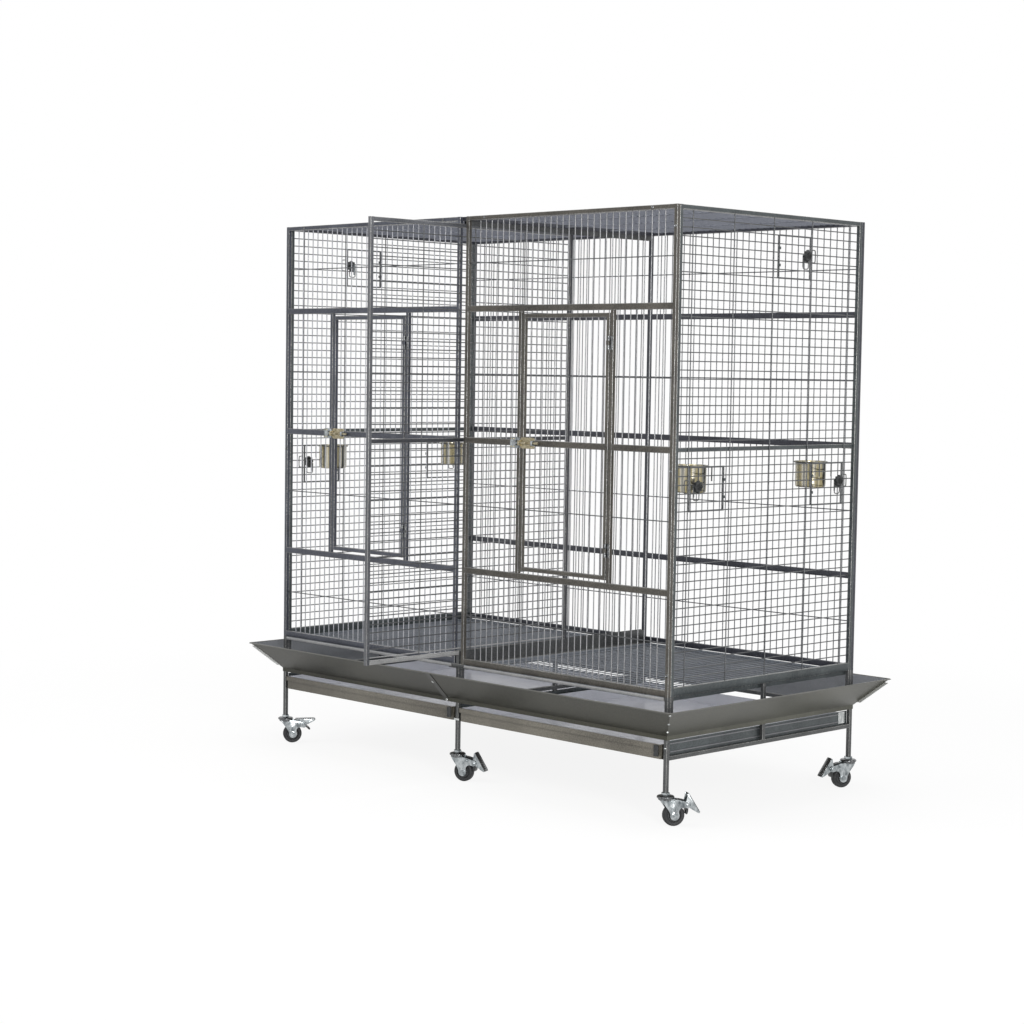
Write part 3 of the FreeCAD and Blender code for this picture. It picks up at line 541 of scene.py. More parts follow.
def shellsOf(data):
    # packed triangles come solid by solid, and a solid ends where its shell has closed
    found = []
    faces = []
    openEdges = set()
    for polygon in data.polygons:
        corners = [tuple(round(c, 7) for c in data.vertices[v].co) for v in polygon.vertices]
        faces.append(corners)
        for a, b in zip(corners, corners[1:] + corners[:1]):
            openEdges ^= {frozenset((a, b))}
        if not openEdges:
            found.append(faces)
            faces = []
    if faces:
        found.append(faces)
    return found


def boxOf(shell):
    axes = list(zip(*[corner for face in shell for corner in face]))
    return [min(axis) / mm for axis in axes], [max(axis) / mm for axis in axes]


def shellPiece(name, shells):
    spots = []
    faces = []
    for shell in shells:
        known = {}
        for face in shell:
            for corner in face:
                if corner not in known:
                    known[corner] = len(spots)
                    spots.append(corner)
            faces.append([known[corner] for corner in face])
    data = bpy.data.meshes.new(name)
    data.from_pydata(spots, [], faces)
    piece = bpy.data.objects.new(name, data)
    scene.collection.objects.link(piece)
    editAll(piece)
    bpy.ops.mesh.dissolve_limited(angle_limit=math.radians(1))
    return piece


def drawnCopy(node, finishes, leaveOut=None, special=None):
    # one merged copy of a node, its tubes, wires and plates rounded by their own size
    # finishes: tubes and plates, wires, painted highlight on the rounded tube edges, then those that special
    # picks by number
    s = edgeLook
    groups = {}
    for shell in shellsOf(nodes[node].data):
        low, high = boxOf(shell)
        sides = sorted(b - a for a, b in zip(low, high))
        if leaveOut and leaveOut(sides):
            continue
        kind = "tube" if sides[0] >= s["tubeFrom"] else "wire" if sides[0] >= s["wireFrom"] else "plate"
        index = special(low, high) if special else 0
        groups.setdefault((kind, index or (1 if kind == "wire" else 0)), []).append((sides[0], shell))
    made = []
    for (kind, index), shells in groups.items():
        thin = min(size for size, shell in shells)
        piece = shellPiece(node + "_" + kind, [shell for size, shell in shells])
        objectMode()
        dressFaces(piece, finishes, lambda face: min(index, len(finishes) - 1))
        editAll(piece)
        if kind == "tube":
            # the rounded long edges of the tubes take finish 2, the painted edge highlight
            roundEdges(lambda e: sharp(e) and e.calc_length() > s["tubeReach"] * mm, s["tubeEdge"], 3,
                       clamp_overlap=True, material=2 if len(finishes) > 2 else -1)
        elif kind == "wire":
            roundEdges(lambda e: sharp(e) and e.calc_length() > s["wireReach"] * mm, s["wireShare"] * thin, 2,
                       clamp_overlap=True)
        else:
            roundEdges(sharp, s["plateShare"] * thin, 1, clamp_overlap=True)
        objectMode()
        made.append(piece)
    return finished(joined(node + "_drawn", made), bodyOf[node], stands=[node], smooth=50)


def sheetCopy(node, outside, inside, facesIn):
    # a folded sheet, with its inner faces in their own lighter finish: painted light on the guards, painted
    # reflection in the trays
    piece = shellPiece(node + "_sheet", shellsOf(nodes[node].data))
    objectMode()
    low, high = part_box(node)
    dressFaces(piece, [outside, inside], lambda face: facesIn(face.center, face.normal, (low + high) / 2))
    return finished(piece, bodyOf[node], stands=[node], smooth=20)


# the up-facing and inward faces of a guard, which take the pale inside coat: painted light
def insideGuard(place, normal, middle):
    return normal.z > 0.9 or place.x * normal.x + place.y * normal.y < -0.1


# the inner faces of a tray, which take the pale inside coat: painted reflection
def insideTray(place, normal, middle):
    return (place - middle).dot(normal) < -1 * mm


def dividerRails(low, high):
    # the divider's front stile and top rail, then its foot rail, picked for lighter coats: painted light
    lying = high[1] - low[1] > barSizes["long"]
    if high[1] < barSizes["stileFront"] or lying and low[2] > barSizes["topRail"]:
        return 3
    return 4 if lying and high[2] < barSizes["footRail"] else 0


# the grate's long front bar, which takes the near-white coat: painted highlight
def frontBar(low, high):
    return 3 if high[1] < barSizes["grateFront"] and high[0] - low[0] > barSizes["long"] else 0


# horizontal cross wires, which take a darker coat than the uprights: painted shade
def crossWire(low, high):
    lying = high[0] - low[0] > barSizes["crossLength"]
    return 3 if lying and high[2] - low[2] < barSizes["crossThick"] else 0


def cupRing(sides):
    return sides[0] < barSizes["ringWire"] and sides[1] > barSizes["ringAcross"]


def latchCopy(node, brightFrom):
    # a latch plate with rounded ends and lugs, silver beyond brightFrom
    s = latchLook
    piece = shellPiece(node + "_cast", shellsOf(nodes[node].data))

    def offMiddle(edge):
        return min(abs(v.co.z - midZ) for v in edge.verts)

    def plateCorner(edge):
        return spanOf(edge, 1) > s["plateThick"] * mm and offMiddle(edge) > s["plateEnd"] * mm

    def lugCorner(edge):
        proud = max(v.co.y for v in edge.verts) < frontY - s["lugProud"] * mm
        return proud and spanOf(edge, 0) > s["lugLength"] * mm and offMiddle(edge) > s["lugEnd"] * mm

    roundEdges(plateCorner, s["plateRound"], 5)
    roundEdges(lugCorner, s["lugRound"], 4)
    objectMode()
    softenEdges(piece, s["edge"], 1)
    dressFaces(piece, [brassPlate, zincPlate], lambda face: face.center.x > brightFrom)
    return finished(piece, bodyOf[node], stands=[node], smooth=40)


def chosen(*names):
    return [coats[name] for name in names]


for node in ("front_panel_left", "door_left"):
    drawnCopy(node, chosen("cool", "uprightHighlight", "edge", "sideWire"), special=crossWire)
for node in ("front_panel_right", "door_right"):
    drawnCopy(node, chosen("front", "rightWireHighlight", "edge", "sideWire"), special=crossWire)
drawnCopy("back_panels", chosen("back", "wire", "back", "back"), special=crossWire)
drawnCopy("stand_frame", chosen("frame", "wire", "edge"))
drawnCopy("roof_panels", chosen("back", "roof"))
drawnCopy("door_hinges", [darkSteel, zincPlate])
for node in ("grate_left", "grate_right"):
    drawnCopy(node, chosen("grate", "grate", "grate", "pale"), special=frontBar)
for node in ("side_panel_left", "side_panel_right"):
    drawnCopy(node, chosen("side", "sideWire", "edge"), leaveOut=cupRing)
for side in ("left", "right"):
    for place in ("feeder_front", "feeder_back", "upper"):
        drawnCopy(place + "_door_" + side, chosen("frame", "sideWire"))
    latchCopy("latch_case_" + side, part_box("latch_case_" + side)[1].x - latchLook["silverEnd"] * mm)
latchCopy("latch_keepers", -wallX)
drawnCopy("divider", chosen("divider", "sideWire", "edge", "stile", "pale"),
          special=dividerRails)
for side in ("left", "right"):
    sheetCopy("tray_" + side, coats["tray"], coats["trayInsideReflection"], insideTray)
for place in ("front", "back", "left", "right"):
    outside = coats["guardFrontShaded" if place == "front" else "guard"]
    sheetCopy("seed_guard_" + place, outside, coats["guardInsideLit"], insideGuard)
print("panels drawn")

plainNodes = {"runners": "side", "divider_tracks": "frame", "guard_strips": "strip"}
for node, coat in plainNodes.items():
    nodes[node].data.materials.clear()
    nodes[node].data.materials.append(coats[coat])


# casters

# side of the cage along X and Y, heading, and whether the brake is pressed
casterSpots = {"front_left": (-1, -1, 58, False), "front_centre": (0, -1, 22, True),
               "front_right": (1, -1, 58, True), "back_left": (-1, 1, 210, True),
               "back_centre": (0, 1, 235, True), "back_right": (1, 1, 245, True)}
casterSizes = {"trail": 24.0, "axleHeight": 32.0, "wheelRadius": 32.0, "wheelWidth": 24.0, "bore": 4.5,
               "rim": 21.5, "cheekInside": 15.0, "cheekThick": 2.5, "cheekEdge": 0.7, "crownRound": 3.2,
               "raceDrop": 9.4, "pivotX": 62.0, "pivotZ": 62.0, "pressed": 58.0, "legFoot": 91.0,
               "rivet": (38.5, 69.0), "axleRadius": 4.0, "pinRadius": 2.5}
pedalSizes = {"earsAt": (-14.0, 12.0), "earThick": 2.0, "earEdge": 0.5, "low": (35.0, -14.0, 81.1),
              "high": (103.0, 14.0, 83.9), "corner": 5.0, "edge": 0.9, "ribs": 6, "ribFrom": 62.0,
              "ribStep": 6.4, "ribHalf": (1.2, 10.5), "ribZ": (83.5, 84.9), "ribEdge": 0.8, "shoeWidth": 24.6,
              "shoeEdge": 0.8}


def alongY(piece, x, y, z, facing=1):
    # a turned piece laid on the side of the caster
    piece.data.transform(Matrix.Translation((x * mm, y * mm, z * mm)) @ spun(-90 * facing, "X"))
    return piece


def wheelMaster():
    s = casterSizes
    r, w, bore, rim = s["wheelRadius"], s["wheelWidth"] / 2, s["bore"], s["rim"]
    tread = [(bore, -w), (10, -w), (11.5, -w + 1.5), (13, -w + 5), (rim - 3, -w + 5), (rim, -w + 1.2),
             (rim + 1.2, -w + 0.8), (r - 4.5, -w + 0.4), (r - 1.6, -w + 2.2), (r - 0.4, -w + 4.4),
             (r, -w + 6.4), (r - 0.7, -w + 6.7), (r - 0.7, -w + 7.5), (r, -w + 7.8)]
    outline = tread + [(radius, -height) for radius, height in reversed(tread)] + [(bore, -w)]
    wheel = turnedPiece("wheelMaster", outline, 48, hollow=True)
    dressFaces(wheel, [blackTyre, greyHub], lambda face: face.center.xy.length < (rim - 0.5) * mm)
    return alongY(wheel, s["trail"], 0, s["axleHeight"], -1)


def dressed(name, groups):
    # groups of parts, each in its finish, joined to one piece
    finishes = [finish for parts, finish in groups]
    for index, (parts, finish) in enumerate(groups):
        for part in parts:
            dressFaces(part, finishes, lambda face: index)
    return joined(name, [part for parts, finish in groups for part in parts])


def forkMaster():
    s = casterSizes
    low = s["legFoot"] - s["raceDrop"]
    inner = s["cheekInside"]
    outer = inner + s["cheekThick"]
    ringLine = [(17, 0), (23, 0), (25.2, 0.8), (26, 2.6), (26, 4.2), (25.2, 5.9), (23.2, 7.4),
                (19.5, 8.5), (13, 9)]
    race = turnedPiece("race", [(r, low + h) for r, h in ringLine], 40)
    seatLine = [(18, -6.4), (20.5, -5.4), (21.5, -3.4), (21.5, 0.2)]
    seat = turnedPiece("seat", [(r, low + h) for r, h in seatLine], 40)
    crown = bar("crown", (-15.6, -outer, low - 5), (23.4, outer, low - 0.2))
    editAll(crown)
    roundEdges(lambda e: spanOf(e, 0) > 20 * mm and e.verts[0].co.z > (low - 2) * mm, s["crownRound"], 4)
    objectMode()
    eye = arcPoints(s["trail"], s["axleHeight"], 14, 12, -195, 14)
    arm = arcPoints(s["pivotX"], s["pivotZ"], 9.5, 62, -120, 9)
    cheekLine = [(-15.6, 79), (23.4, 79), (34, 78.2), (48, 74.6)] + arm
    cheekLine += [(50, 54.7), (44.5, 53.9), (40, 51.1), (37, 46.9), (36, 42.1), (36.6, 37.5)] + eye
    cheekLine += [(7.6, 42.5), (3.2, 50), (-2.4, 58), (-8.4, 66), (-13.2, 73)]
    parts = [crown]
    for y in (-outer, inner):
        cheek = cutPlate("cheek", cheekLine, s["cheekThick"], y)
        softenEdges(cheek, s["cheekEdge"])
        parts.append(cheek)
    axleSpot = (s["trail"], s["axleHeight"])
    pivotSpot = (s["pivotX"], s["pivotZ"])
    # washer, nut and stub of the axle, head of the pedal's pin, rivet
    fasteners = ((axleSpot, 28, [(10.5, -0.3), (10.5, 1), (9.6, 1.5)]),
                 (axleSpot, 6, [(7.4, 1), (7.4, 5), (6.4, 5.8)]),
                 (axleSpot, 16, [(4, 5), (4, 7.4), (3.2, 8.2)]),
                 (pivotSpot, 20, [(5, -0.3), (5, 1.2), (3.8, 2.2), (1.8, 2.6)]),
                 (s["rivet"], 16, [(3.4, -0.3), (3.4, 0.8), (2.2, 1.6)]))
    for facing in (-1, 1):
        for (x, z), sides, outline in fasteners:
            parts.append(alongY(turnedPiece("fastener", outline, sides), x, facing * outer, z, facing))
    for (x, z), radius, sides in ((axleSpot, s["axleRadius"], 20), (pivotSpot, s["pinRadius"], 16)):
        parts.append(alongY(turnedPiece("axle", [(radius, -inner), (radius, inner)], sides), x, 0, z))
    tongueLine = [(30, 79.6), (42, 78.6), (56, 75.4), (55.5, 73.4), (41.5, 76.4), (30, 77.4)]
    tongue = cutPlate("tongue", tongueLine, 16, -8)
    softenEdges(tongue, 0.6)
    return dressed("forkMaster", ((parts, zincPlate), ([tongue], blackKnob), ([race, seat], darkSteel)))


def pedalSwing(angle):
    pin = Vector((casterSizes["pivotX"], 0, casterSizes["pivotZ"])) * mm
    return Matrix.Translation(pin) @ spun(angle, "Y") @ Matrix.Translation(-pin)


def pedalMaster():
    s = pedalSizes
    px, pz = casterSizes["pivotX"], casterSizes["pivotZ"]
    eye = arcPoints(px, pz, 7, -10, -170, 9)
    skirt = [(35.5, 82.5), (102.5, 82.5), (102.8, 79), (98, 75.5)] + eye + [(41, 75), (35.5, 78.5)]
    ears = []
    for y in s["earsAt"]:
        ear = cutPlate("ear", skirt, s["earThick"], y)
        softenEdges(ear, s["earEdge"])
        ears.append(ear)
    tread = bar("tread", s["low"], s["high"])
    editAll(tread)
    roundEdges(lambda e: spanOf(e, 2) > 2 * mm, s["corner"], 4)
    objectMode()
    softenEdges(tread, s["edge"])
    tops = [tread]
    halfX, halfY = s["ribHalf"]
    for i in range(s["ribs"]):
        x = s["ribFrom"] + i * s["ribStep"]
        rib = bar("rib", (x - halfX, -halfY, s["ribZ"][0]), (x + halfX, halfY, s["ribZ"][1]))
        softenEdges(rib, s["ribEdge"])
        tops.append(rib)
    # the brake shoe is drawn where it rests on the tyre, then swung back with the pedal
    shoeLine = [(57.4, 36), (61, 33.6), (64.6, 38), (65.6, 46), (66.2, 54), (65, 57.4), (60, 57.4),
                (59.4, 50), (58.2, 43)]
    shoe = cutPlate("shoe", shoeLine, s["shoeWidth"], -s["shoeWidth"] / 2)
    softenEdges(shoe, s["shoeEdge"])
    shoe.data.transform(pedalSwing(-casterSizes["pressed"]))
    return dressed("pedalMaster", ((ears, zincPlate), ([shoe], blackKnob), (tops, darkSteel)))


wheel = wheelMaster()
fork = forkMaster()
pedal = pedalMaster()
legX = wallX - cageSizes["halfTube"] * mm
legY = backY - cageSizes["halfTube"] * mm
for name, (sideX, sideY, heading, pressed) in casterSpots.items():
    stand = Matrix.Translation((sideX * legX, sideY * legY, 0)) @ spun(heading, "Z")
    push = pedalSwing(casterSizes["pressed"] if pressed else 0)
    finished(copied(wheel, "casterWheel_" + name, stand), "caster_" + name + "_roller",
             stands=["caster_wheel_" + name])
    finished(copied(fork, "casterFork_" + name, stand), "caster_" + name + "_swivel",
             stands=["caster_fork_" + name])
    finished(copied(pedal, "casterPedal_" + name, stand @ push), "caster_" + name + "_pedal",
             stands=["caster_brake_" + name])
dropped(wheel, fork, pedal)

nutLine = [(12.6, 0.2), (12.6, 6.5), (11.2, 7.6), (7.5, 7.8)]
nuts = []
for sideX, sideY, heading, pressed in casterSpots.values():
    nut = turnedPiece("legNut", [(r, casterSizes["legFoot"] + h) for r, h in nutLine], 6)
    nut.data.transform(Matrix.Translation((sideX * legX, sideY * legY, 0)))
    nuts.append(nut)
finished(joined("legNuts", nuts), "cage", zincPlate)
print("casters made")


# feed cups and their wire rings

cupSizes = {"radius": 47.4, "rim": 53.0, "height": 81.0, "offWall": 68.0, "alongY": 287.0, "rows": 2,
            "ringRadius": 50.8, "wire": 2.0, "arm": 30.0, "hookDrop": 42.0, "hookBend": 7.0, "hookOff": 3.2,
            "rimOver": 3.6}
spins = (Matrix.Identity(4), halfTurn)


def cupMaster():
    s = cupSizes
    r, rim, top = s["radius"], s["rim"], s["height"]
    outline = [(r - 8, 0), (r - 4, 0.6), (r - 1.6, 2.4), (r - 0.6, 5.5), (r, 14), (r, top - 6),
               (r + 0.8, top - 3.2), (rim - 1.6, top - 2.2), (rim, top - 1.4), (rim - 0.4, top - 0.3),
               (rim - 1.6, top), (r + 1.2, top - 0.4), (r - 0.6, top - 2), (r - 1, top - 6), (r - 1, 14),
               (r - 1.8, 6), (r - 5, 2), (r - 9, 1.2)]
    cup = turnedPiece("cupMaster", outline, 48)
    wrap = cup.data.uv_layers.new(name="aroundWall")
    for face in cup.data.polygons:
        middle = math.atan2(face.center.y, face.center.x)
        for corner in face.loop_indices:
            spot = cup.data.vertices[cup.data.loops[corner].vertex_index].co
            turn = math.atan2(spot.y, spot.x)
            turn += math.tau * round((middle - turn) / math.tau)
            wrap.data[corner].uv = (turn / math.tau, spot.z / (top * mm))
    return cup


def ringMaster():
    s = cupSizes
    pickNone()
    bpy.ops.mesh.primitive_torus_add(major_radius=s["ringRadius"] * mm, minor_radius=s["wire"] * mm,
                                     major_segments=48, minor_segments=8)
    parts = [bpy.context.object]
    start = math.sqrt(s["ringRadius"] ** 2 - s["arm"] ** 2)
    end = s["offWall"] - cageSizes["halfTube"] - s["hookOff"] - s["wire"]
    for y in (-s["arm"], s["arm"]):
        points = [(start, y, 0), (end - s["hookBend"], y, 0), (end, y, 0), (end, y, -s["hookBend"]),
                  (end, y, -s["hookDrop"])]
        parts.append(bentWire("hook", points, s["wire"]))
    return joined("ringMaster", parts)


cup = cupMaster()
ring = ringMaster()
cups = []
rings = []
ringZ = midZ - cupSizes["rows"] * cageSizes["pitch"] * mm
for spin in spins:
    for sideY in (-1, 1):
        spot = Matrix.Translation((wallX - cupSizes["offWall"] * mm, sideY * cupSizes["alongY"] * mm, ringZ))
        lift = Matrix.Translation((0, 0, (cupSizes["rimOver"] - cupSizes["height"]) * mm))
        cups.append(copied(cup, "cup", spin @ spot @ lift))
        rings.append(copied(ring, "ring", spin @ spot))
dropped(cup, ring)
finished(joined("feedCups", cups), "cage", cupReflectionSteel, ["feed_cups"], smooth=40)
finished(joined("cupRings", rings), "cage", coats["frame"], smooth=50)
print("feed cups made")


# turn knobs, their loops and staples

knobSizes = {"radius": 18.5, "inset": 27.0, "rise": 7.5, "halfDoor": 76.2, "rowsUp": 2.5, "lobes": 8,
             "lobeDepth": 0.085, "foot": 0.88, "tongue": 32.0, "loopWire": 1.6, "loopIn": 2.0,
             "stapleWire": 1.7}
# middle along the wall, lowest row and hinge side of each door
knobPlaces = {"feeder_front": (-287.0, -7, 1), "feeder_back": (287.0, -7, -1), "upper": (102.0, 20, -1)}
# the loop's points beside and below the knob, and the staple's off the door and above the knob
loopLine = ((-13, -6), (-13, -30), (-12, -40), (12, -40), (13, -30), (13, -6))
stapleLine = ((8, 19), (20, 19), (23, 16), (23, -16), (20, -19), (8, -19))


def knobMaster():
    # stands along +X from the origin, its tongue hanging down behind
    s = knobSizes
    grip = blankDisc("grip", s["lobes"] * 8, s["radius"])
    shape = bmesh.from_edit_mesh(grip.data)
    for vertex in shape.verts:
        turn = math.atan2(vertex.co.y, vertex.co.x)
        vertex.co *= 1 - s["lobeDepth"] * (1 - math.cos(s["lobes"] * turn))
    bmesh.update_edit_mesh(grip.data)
    bpy.ops.transform.resize(value=(s["foot"], s["foot"], 1))
    height = 0
    for grow, rise in ((1 / s["foot"], 1.4), (1.0, 6.2), (0.94, 1.9), (0.82, 1.2)):
        height += rise * mm
        bpy.ops.mesh.extrude_region_move(TRANSFORM_OT_translate={"value": (0, 0, rise * mm)})
        bpy.ops.transform.resize(value=(grow, grow, 1), center_override=(0, 0, height))
    for thick, rise in ((2.6, -0.9), (3.2, 1.6)):
        bpy.ops.mesh.inset(thickness=thick * mm)
        bpy.ops.transform.translate(value=(0, 0, rise * mm))
    facedOut(grip)
    collar = turnedPiece("collar", [(6.5, -0.2), (6.5, 0.6), (4.6, 1.6)], 20)
    stem = turnedPiece("stem", [(2, -12.6), (2, 0.6)], 12)
    tongue = bar("tongue", (-3, -s["tongue"], -12.7), (3, 3, -10.8))
    softenEdges(tongue, 0.5)
    knob = dressed("knobMaster", (([grip], blackKnob), ([collar, stem, tongue], zincPlate)))
    # Z of the drawing points out of the wall, Y up
    knob.data.transform(Matrix(((0, 0, 1, 0), (1, 0, 0, 0), (0, 1, 0, 0), (0, 0, 0, 1))))
    return knob


knob = knobMaster()
staples = []
loopX = wallX / mm - knobSizes["loopIn"]
stapleX = wallX / mm - cageSizes["halfTube"] + knobSizes["stapleWire"]
for place, (y, row, hinge) in knobPlaces.items():
    freeY = y - hinge * knobSizes["halfDoor"]
    knobY = freeY + hinge * knobSizes["inset"]
    knobZ = midZ / mm + (row + knobSizes["rowsUp"]) * cageSizes["pitch"] + knobSizes["rise"]
    loop = bentWire("loop", [(loopX, knobY + dy, knobZ + dz) for dy, dz in loopLine], knobSizes["loopWire"])
    staplePoints = [(stapleX, freeY - hinge * dy, knobZ + dz) for dy, dz in stapleLine]
    staple = bentWire("staple", staplePoints, knobSizes["stapleWire"])
    spot = Matrix.Translation((wallX, knobY * mm, knobZ * mm))
    for side, spin in zip(("right", "left"), spins):
        node = place + "_knob_" + side
        turned = copied(knob, "knob_" + place + "_" + side, spin @ spot)
        finished(turned, bodyOf[node], stands=[node])
        finished(copied(loop, "loop_" + place + "_" + side, spin), bodyOf[place + "_door_" + side],
                 coats["frame"], smooth=50)
        staples.append(copied(staple, "staple", spin))
    dropped(loop, staple)
dropped(knob)
finished(joined("knobStaples", staples), "cage", coats["frame"], smooth=50)
print("knobs made")


# slide bolts and fasteners

boltSizes = {"radius": 4.0, "length": 82.0, "gripRadius": 4.5, "gripLength": 16.0, "gripAt": 38.0}
# radius and height of each head
screwSizes = {"panel": (4.6, 2.4), "stand": (3.3, 1.8), "latch": (2.6, 1.5)}
screwPlaces = {"railIn": 95.0, "postTop": 62.0, "postMiddle": 60.0, "postFoot": 62.0, "caseIn": 16.0,
               "plateIn": 5.0, "plateThick": 2.0, "keeperLength": 40.0, "keeperIn": (6.0, 17.0),
               "stripShares": (0.1, 0.9), "lap": (-58.0, -496.0, 315.0), "lapFoot": (-45.0, -446.0, 255.0),
               "leg": 226.0, "ridge": (16.0, 44.0, 74.0), "ridgeFoot": 262.7, "ridgeSlope": 1.05,
               "ridgeDrop": 1.2, "proud": 0.5}
standPlates = {"endPlate": ((871.4, 388, 206), (873, 421, 243), 0.4),
               "legClamp": ((-12, -446.4, 193.6), (12, -444.6, 200.4), 0.5)}
webSizes = {"x": (871.2, 874.0), "runs": ((-419, -8), (8, 386)), "heights": (212.0, 236.0), "half": 2.2,
            "edge": 1.2}


def boltMaster():
    # lies along +X from the origin, its grip towards -Y
    s = boltSizes
    r, g = s["radius"], s["gripRadius"]
    rod = turnedPiece("rod", [(r - 1.2, 0), (r, 1.4), (r, s["length"] - 1), (r - 0.8, s["length"])], 24)
    rod.data.transform(spun(90, "Y"))
    gripLine = [(2.6, 0), (2.6, 7.5), (g, 9), (g + 0.4, 11.5), (g, 14.2), (g - 1.5, 15.6),
                (1.2, s["gripLength"])]
    grip = turnedPiece("grip", gripLine, 24)
    grip.data.transform(Matrix.Translation((s["gripAt"] * mm, 0, 0)) @ facesFront)
    return joined("boltMaster", [rod, grip])


def screwMaster(radius, height):
    # pan head standing along +Z, with a driver recess
    outline = [(radius, -0.3), (radius, 0.35 * height), (0.86 * radius, 0.75 * height),
               (0.6 * radius, height)]
    screw = turnedPiece("screwMaster", outline, 18)
    editAll(screw)
    pickParts("FACE", lambda f: f.calc_center_median().z > 0.98 * height * mm)
    bpy.ops.mesh.inset(thickness=0.22 * radius * mm)
    bpy.ops.transform.translate(value=(0, 0, -0.5 * height * mm))
    objectMode()
    return screw


def headAt(kind, spot, turn):
    return copied(screws[kind], "head", Matrix.Translation(spot) @ turn)


def turnTo(facing):
    return facing.to_track_quat("Z", "Y").to_matrix().to_4x4()


facesFront = spun(90, "X")
facesBack = spun(-90, "X")
bolt = boltMaster()
for side in ("left", "right"):
    node = "latch_bolt_" + side
    low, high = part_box(node)
    spot = Matrix.Translation((low.x, high.y - boltSizes["radius"] * mm, (low.z + high.z) / 2))
    finished(copied(bolt, "slideBolt_" + side, spot), bodyOf[node], brassPlate, [node])
dropped(bolt)

screws = {kind: screwMaster(*sizes) for kind, sizes in screwSizes.items()}
# single distances in metres
off = {name: value * mm for name, value in screwPlaces.items() if isinstance(value, float)}
spots = []
for sideX in (-1, 1):
    spots += [(sideX * x, topZ - cageSizes["halfTube"] * mm) for x in (wallX - off["railIn"], off["railIn"])]
    heights = (topZ - off["postTop"], midZ - off["postMiddle"], cageZ + off["postFoot"])
    spots += [(sideX * legX, z) for z in heights]
heads = []
for x, z in spots:
    heads.append(headAt("panel", (x, frontY, z), facesFront))
    heads.append(headAt("panel", (x, backY, z), facesBack))
finished(joined("panelScrews", heads), "cage", darkSteel)


def plateHeads(node, places):
    low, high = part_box(node)
    heights = (low.z + off["plateIn"], high.z - off["plateIn"])
    return [headAt("latch", (x, frontY - off["plateThick"], z), facesFront) for x in places for z in heights]


for side in ("left", "right"):
    node = "latch_case_" + side
    low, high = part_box(node)
    heads = plateHeads(node, (low.x + off["caseIn"], high.x - off["caseIn"]))
    finished(joined("latchScrews_" + side, heads), bodyOf[node], brassPlate)
low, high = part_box("latch_keepers")
starts = (low.x, high.x - off["keeperLength"])
heads = plateHeads("latch_keepers", [start + x * mm for start in starts for x in screwPlaces["keeperIn"]])
finished(joined("keeperScrews", heads), "cage", brassPlate)

slopeOut = Vector((0, -0.724, -0.69))
cornerOut = Vector((1, -1, -0.4)).normalized()
heads = [headAt("panel", Vector(screwPlaces["lap"]) * mm, turnTo(slopeOut)),
         headAt("panel", Vector(screwPlaces["lapFoot"]) * mm, turnTo(Vector((0, -1, 0))))]
for place in screwPlaces["ridge"]:
    reach = place * mm + off["proud"]
    height = off["ridgeFoot"] + screwPlaces["ridgeSlope"] * place * mm - off["ridgeDrop"]
    heads.append(headAt("stand", (wallX + reach, frontY - reach, height), turnTo(cornerOut)))
strip = shellPiece("strip", shellsOf(nodes["guard_strips"].data)[:1])
objectMode()
outer = max(strip.data.polygons, key=lambda f: f.normal.dot(slopeOut) * f.area)
corners = sorted((strip.data.vertices[v].co.copy() for v in outer.vertices), key=lambda c: c.z)
stripFoot = (corners[0] + corners[1]) / 2
stripTop = (corners[-1] + corners[-2]) / 2
for share in screwPlaces["stripShares"]:
    heads.append(headAt("panel", stripFoot.lerp(stripTop, share), turnTo(slopeOut)))
dropped(strip)
heads.append(headAt("stand", (legX, frontY, off["leg"]), facesFront))
for name, (low, high, edge) in standPlates.items():
    plate = bar(name, low, high)
    softenEdges(plate, edge, 1)
    heads.append(plate)
heads += [copied(head, "head", halfTurn) for head in list(heads)]
finished(joined("standFasteners", heads), "cage", brightPlate)
dropped(*screws.values())

# ribs on the runner webs, in a coat lighter than the web: a painted highlight along them
ribs = []
for yLow, yHigh in webSizes["runs"]:
    for z in webSizes["heights"]:
        rib = bar("webRib", (webSizes["x"][0], yLow, z - webSizes["half"]),
                  (webSizes["x"][1], yHigh, z + webSizes["half"]))
        softenEdges(rib, webSizes["edge"])
        ribs += [rib, copied(rib, "webRib", halfTurn)]
finished(joined("webRibs", ribs), "cage", coats["wire"])
print("fasteners made")


# guard hems, laps and tray catches

hemSizes = {"radius": 2.2, "lip": 85.0, "inset": 1.6, "round": 9.0}
lapSizes = {"from": -63.0, "to": -41.0, "edge": 0.4}
# outside of the guard's folded sheet: reach from its foot and height
lapLine = [(1.0, 250.5), (2.8, 250.5), (2.8, 261.6), (81.4, 344.2), (80.0, 345.6), (1.0, 262.6)]
catchSizes = {"width": 16.0, "proud": 5.0, "foot": 9.0, "top": 1.0, "recess": 1.6, "frame": 3.0,
              "sideIn": 1.0, "sunk": 0.2, "edge": 0.7}

hemX = wallX / mm + hemSizes["lip"] - hemSizes["inset"]
hemY = backY / mm + hemSizes["lip"] - hemSizes["inset"]
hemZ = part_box("seed_guard_front")[1].z / mm
bend = hemSizes["round"]
hemLine = [(0, -hemY, hemZ)]
for sideX, sideY, first in ((1, -1, "y"), (1, 1, "x"), (-1, 1, "y"), (-1, -1, "x")):
    along = (sideX * (hemX - bend), sideY * hemY, hemZ)
    across = (sideX * hemX, sideY * (hemY - bend), hemZ)
    before, after = (along, across) if first == "y" else (across, along)
    hemLine += [before, (sideX * hemX, sideY * hemY, hemZ), after]
hemLine.append((0, -hemY, hemZ))
# the hem wire takes the lighter hem coat, a painted highlight along the lips
finished(bentWire("guardHems", hemLine, hemSizes["radius"]), "cage", coats["hem"], smooth=50)

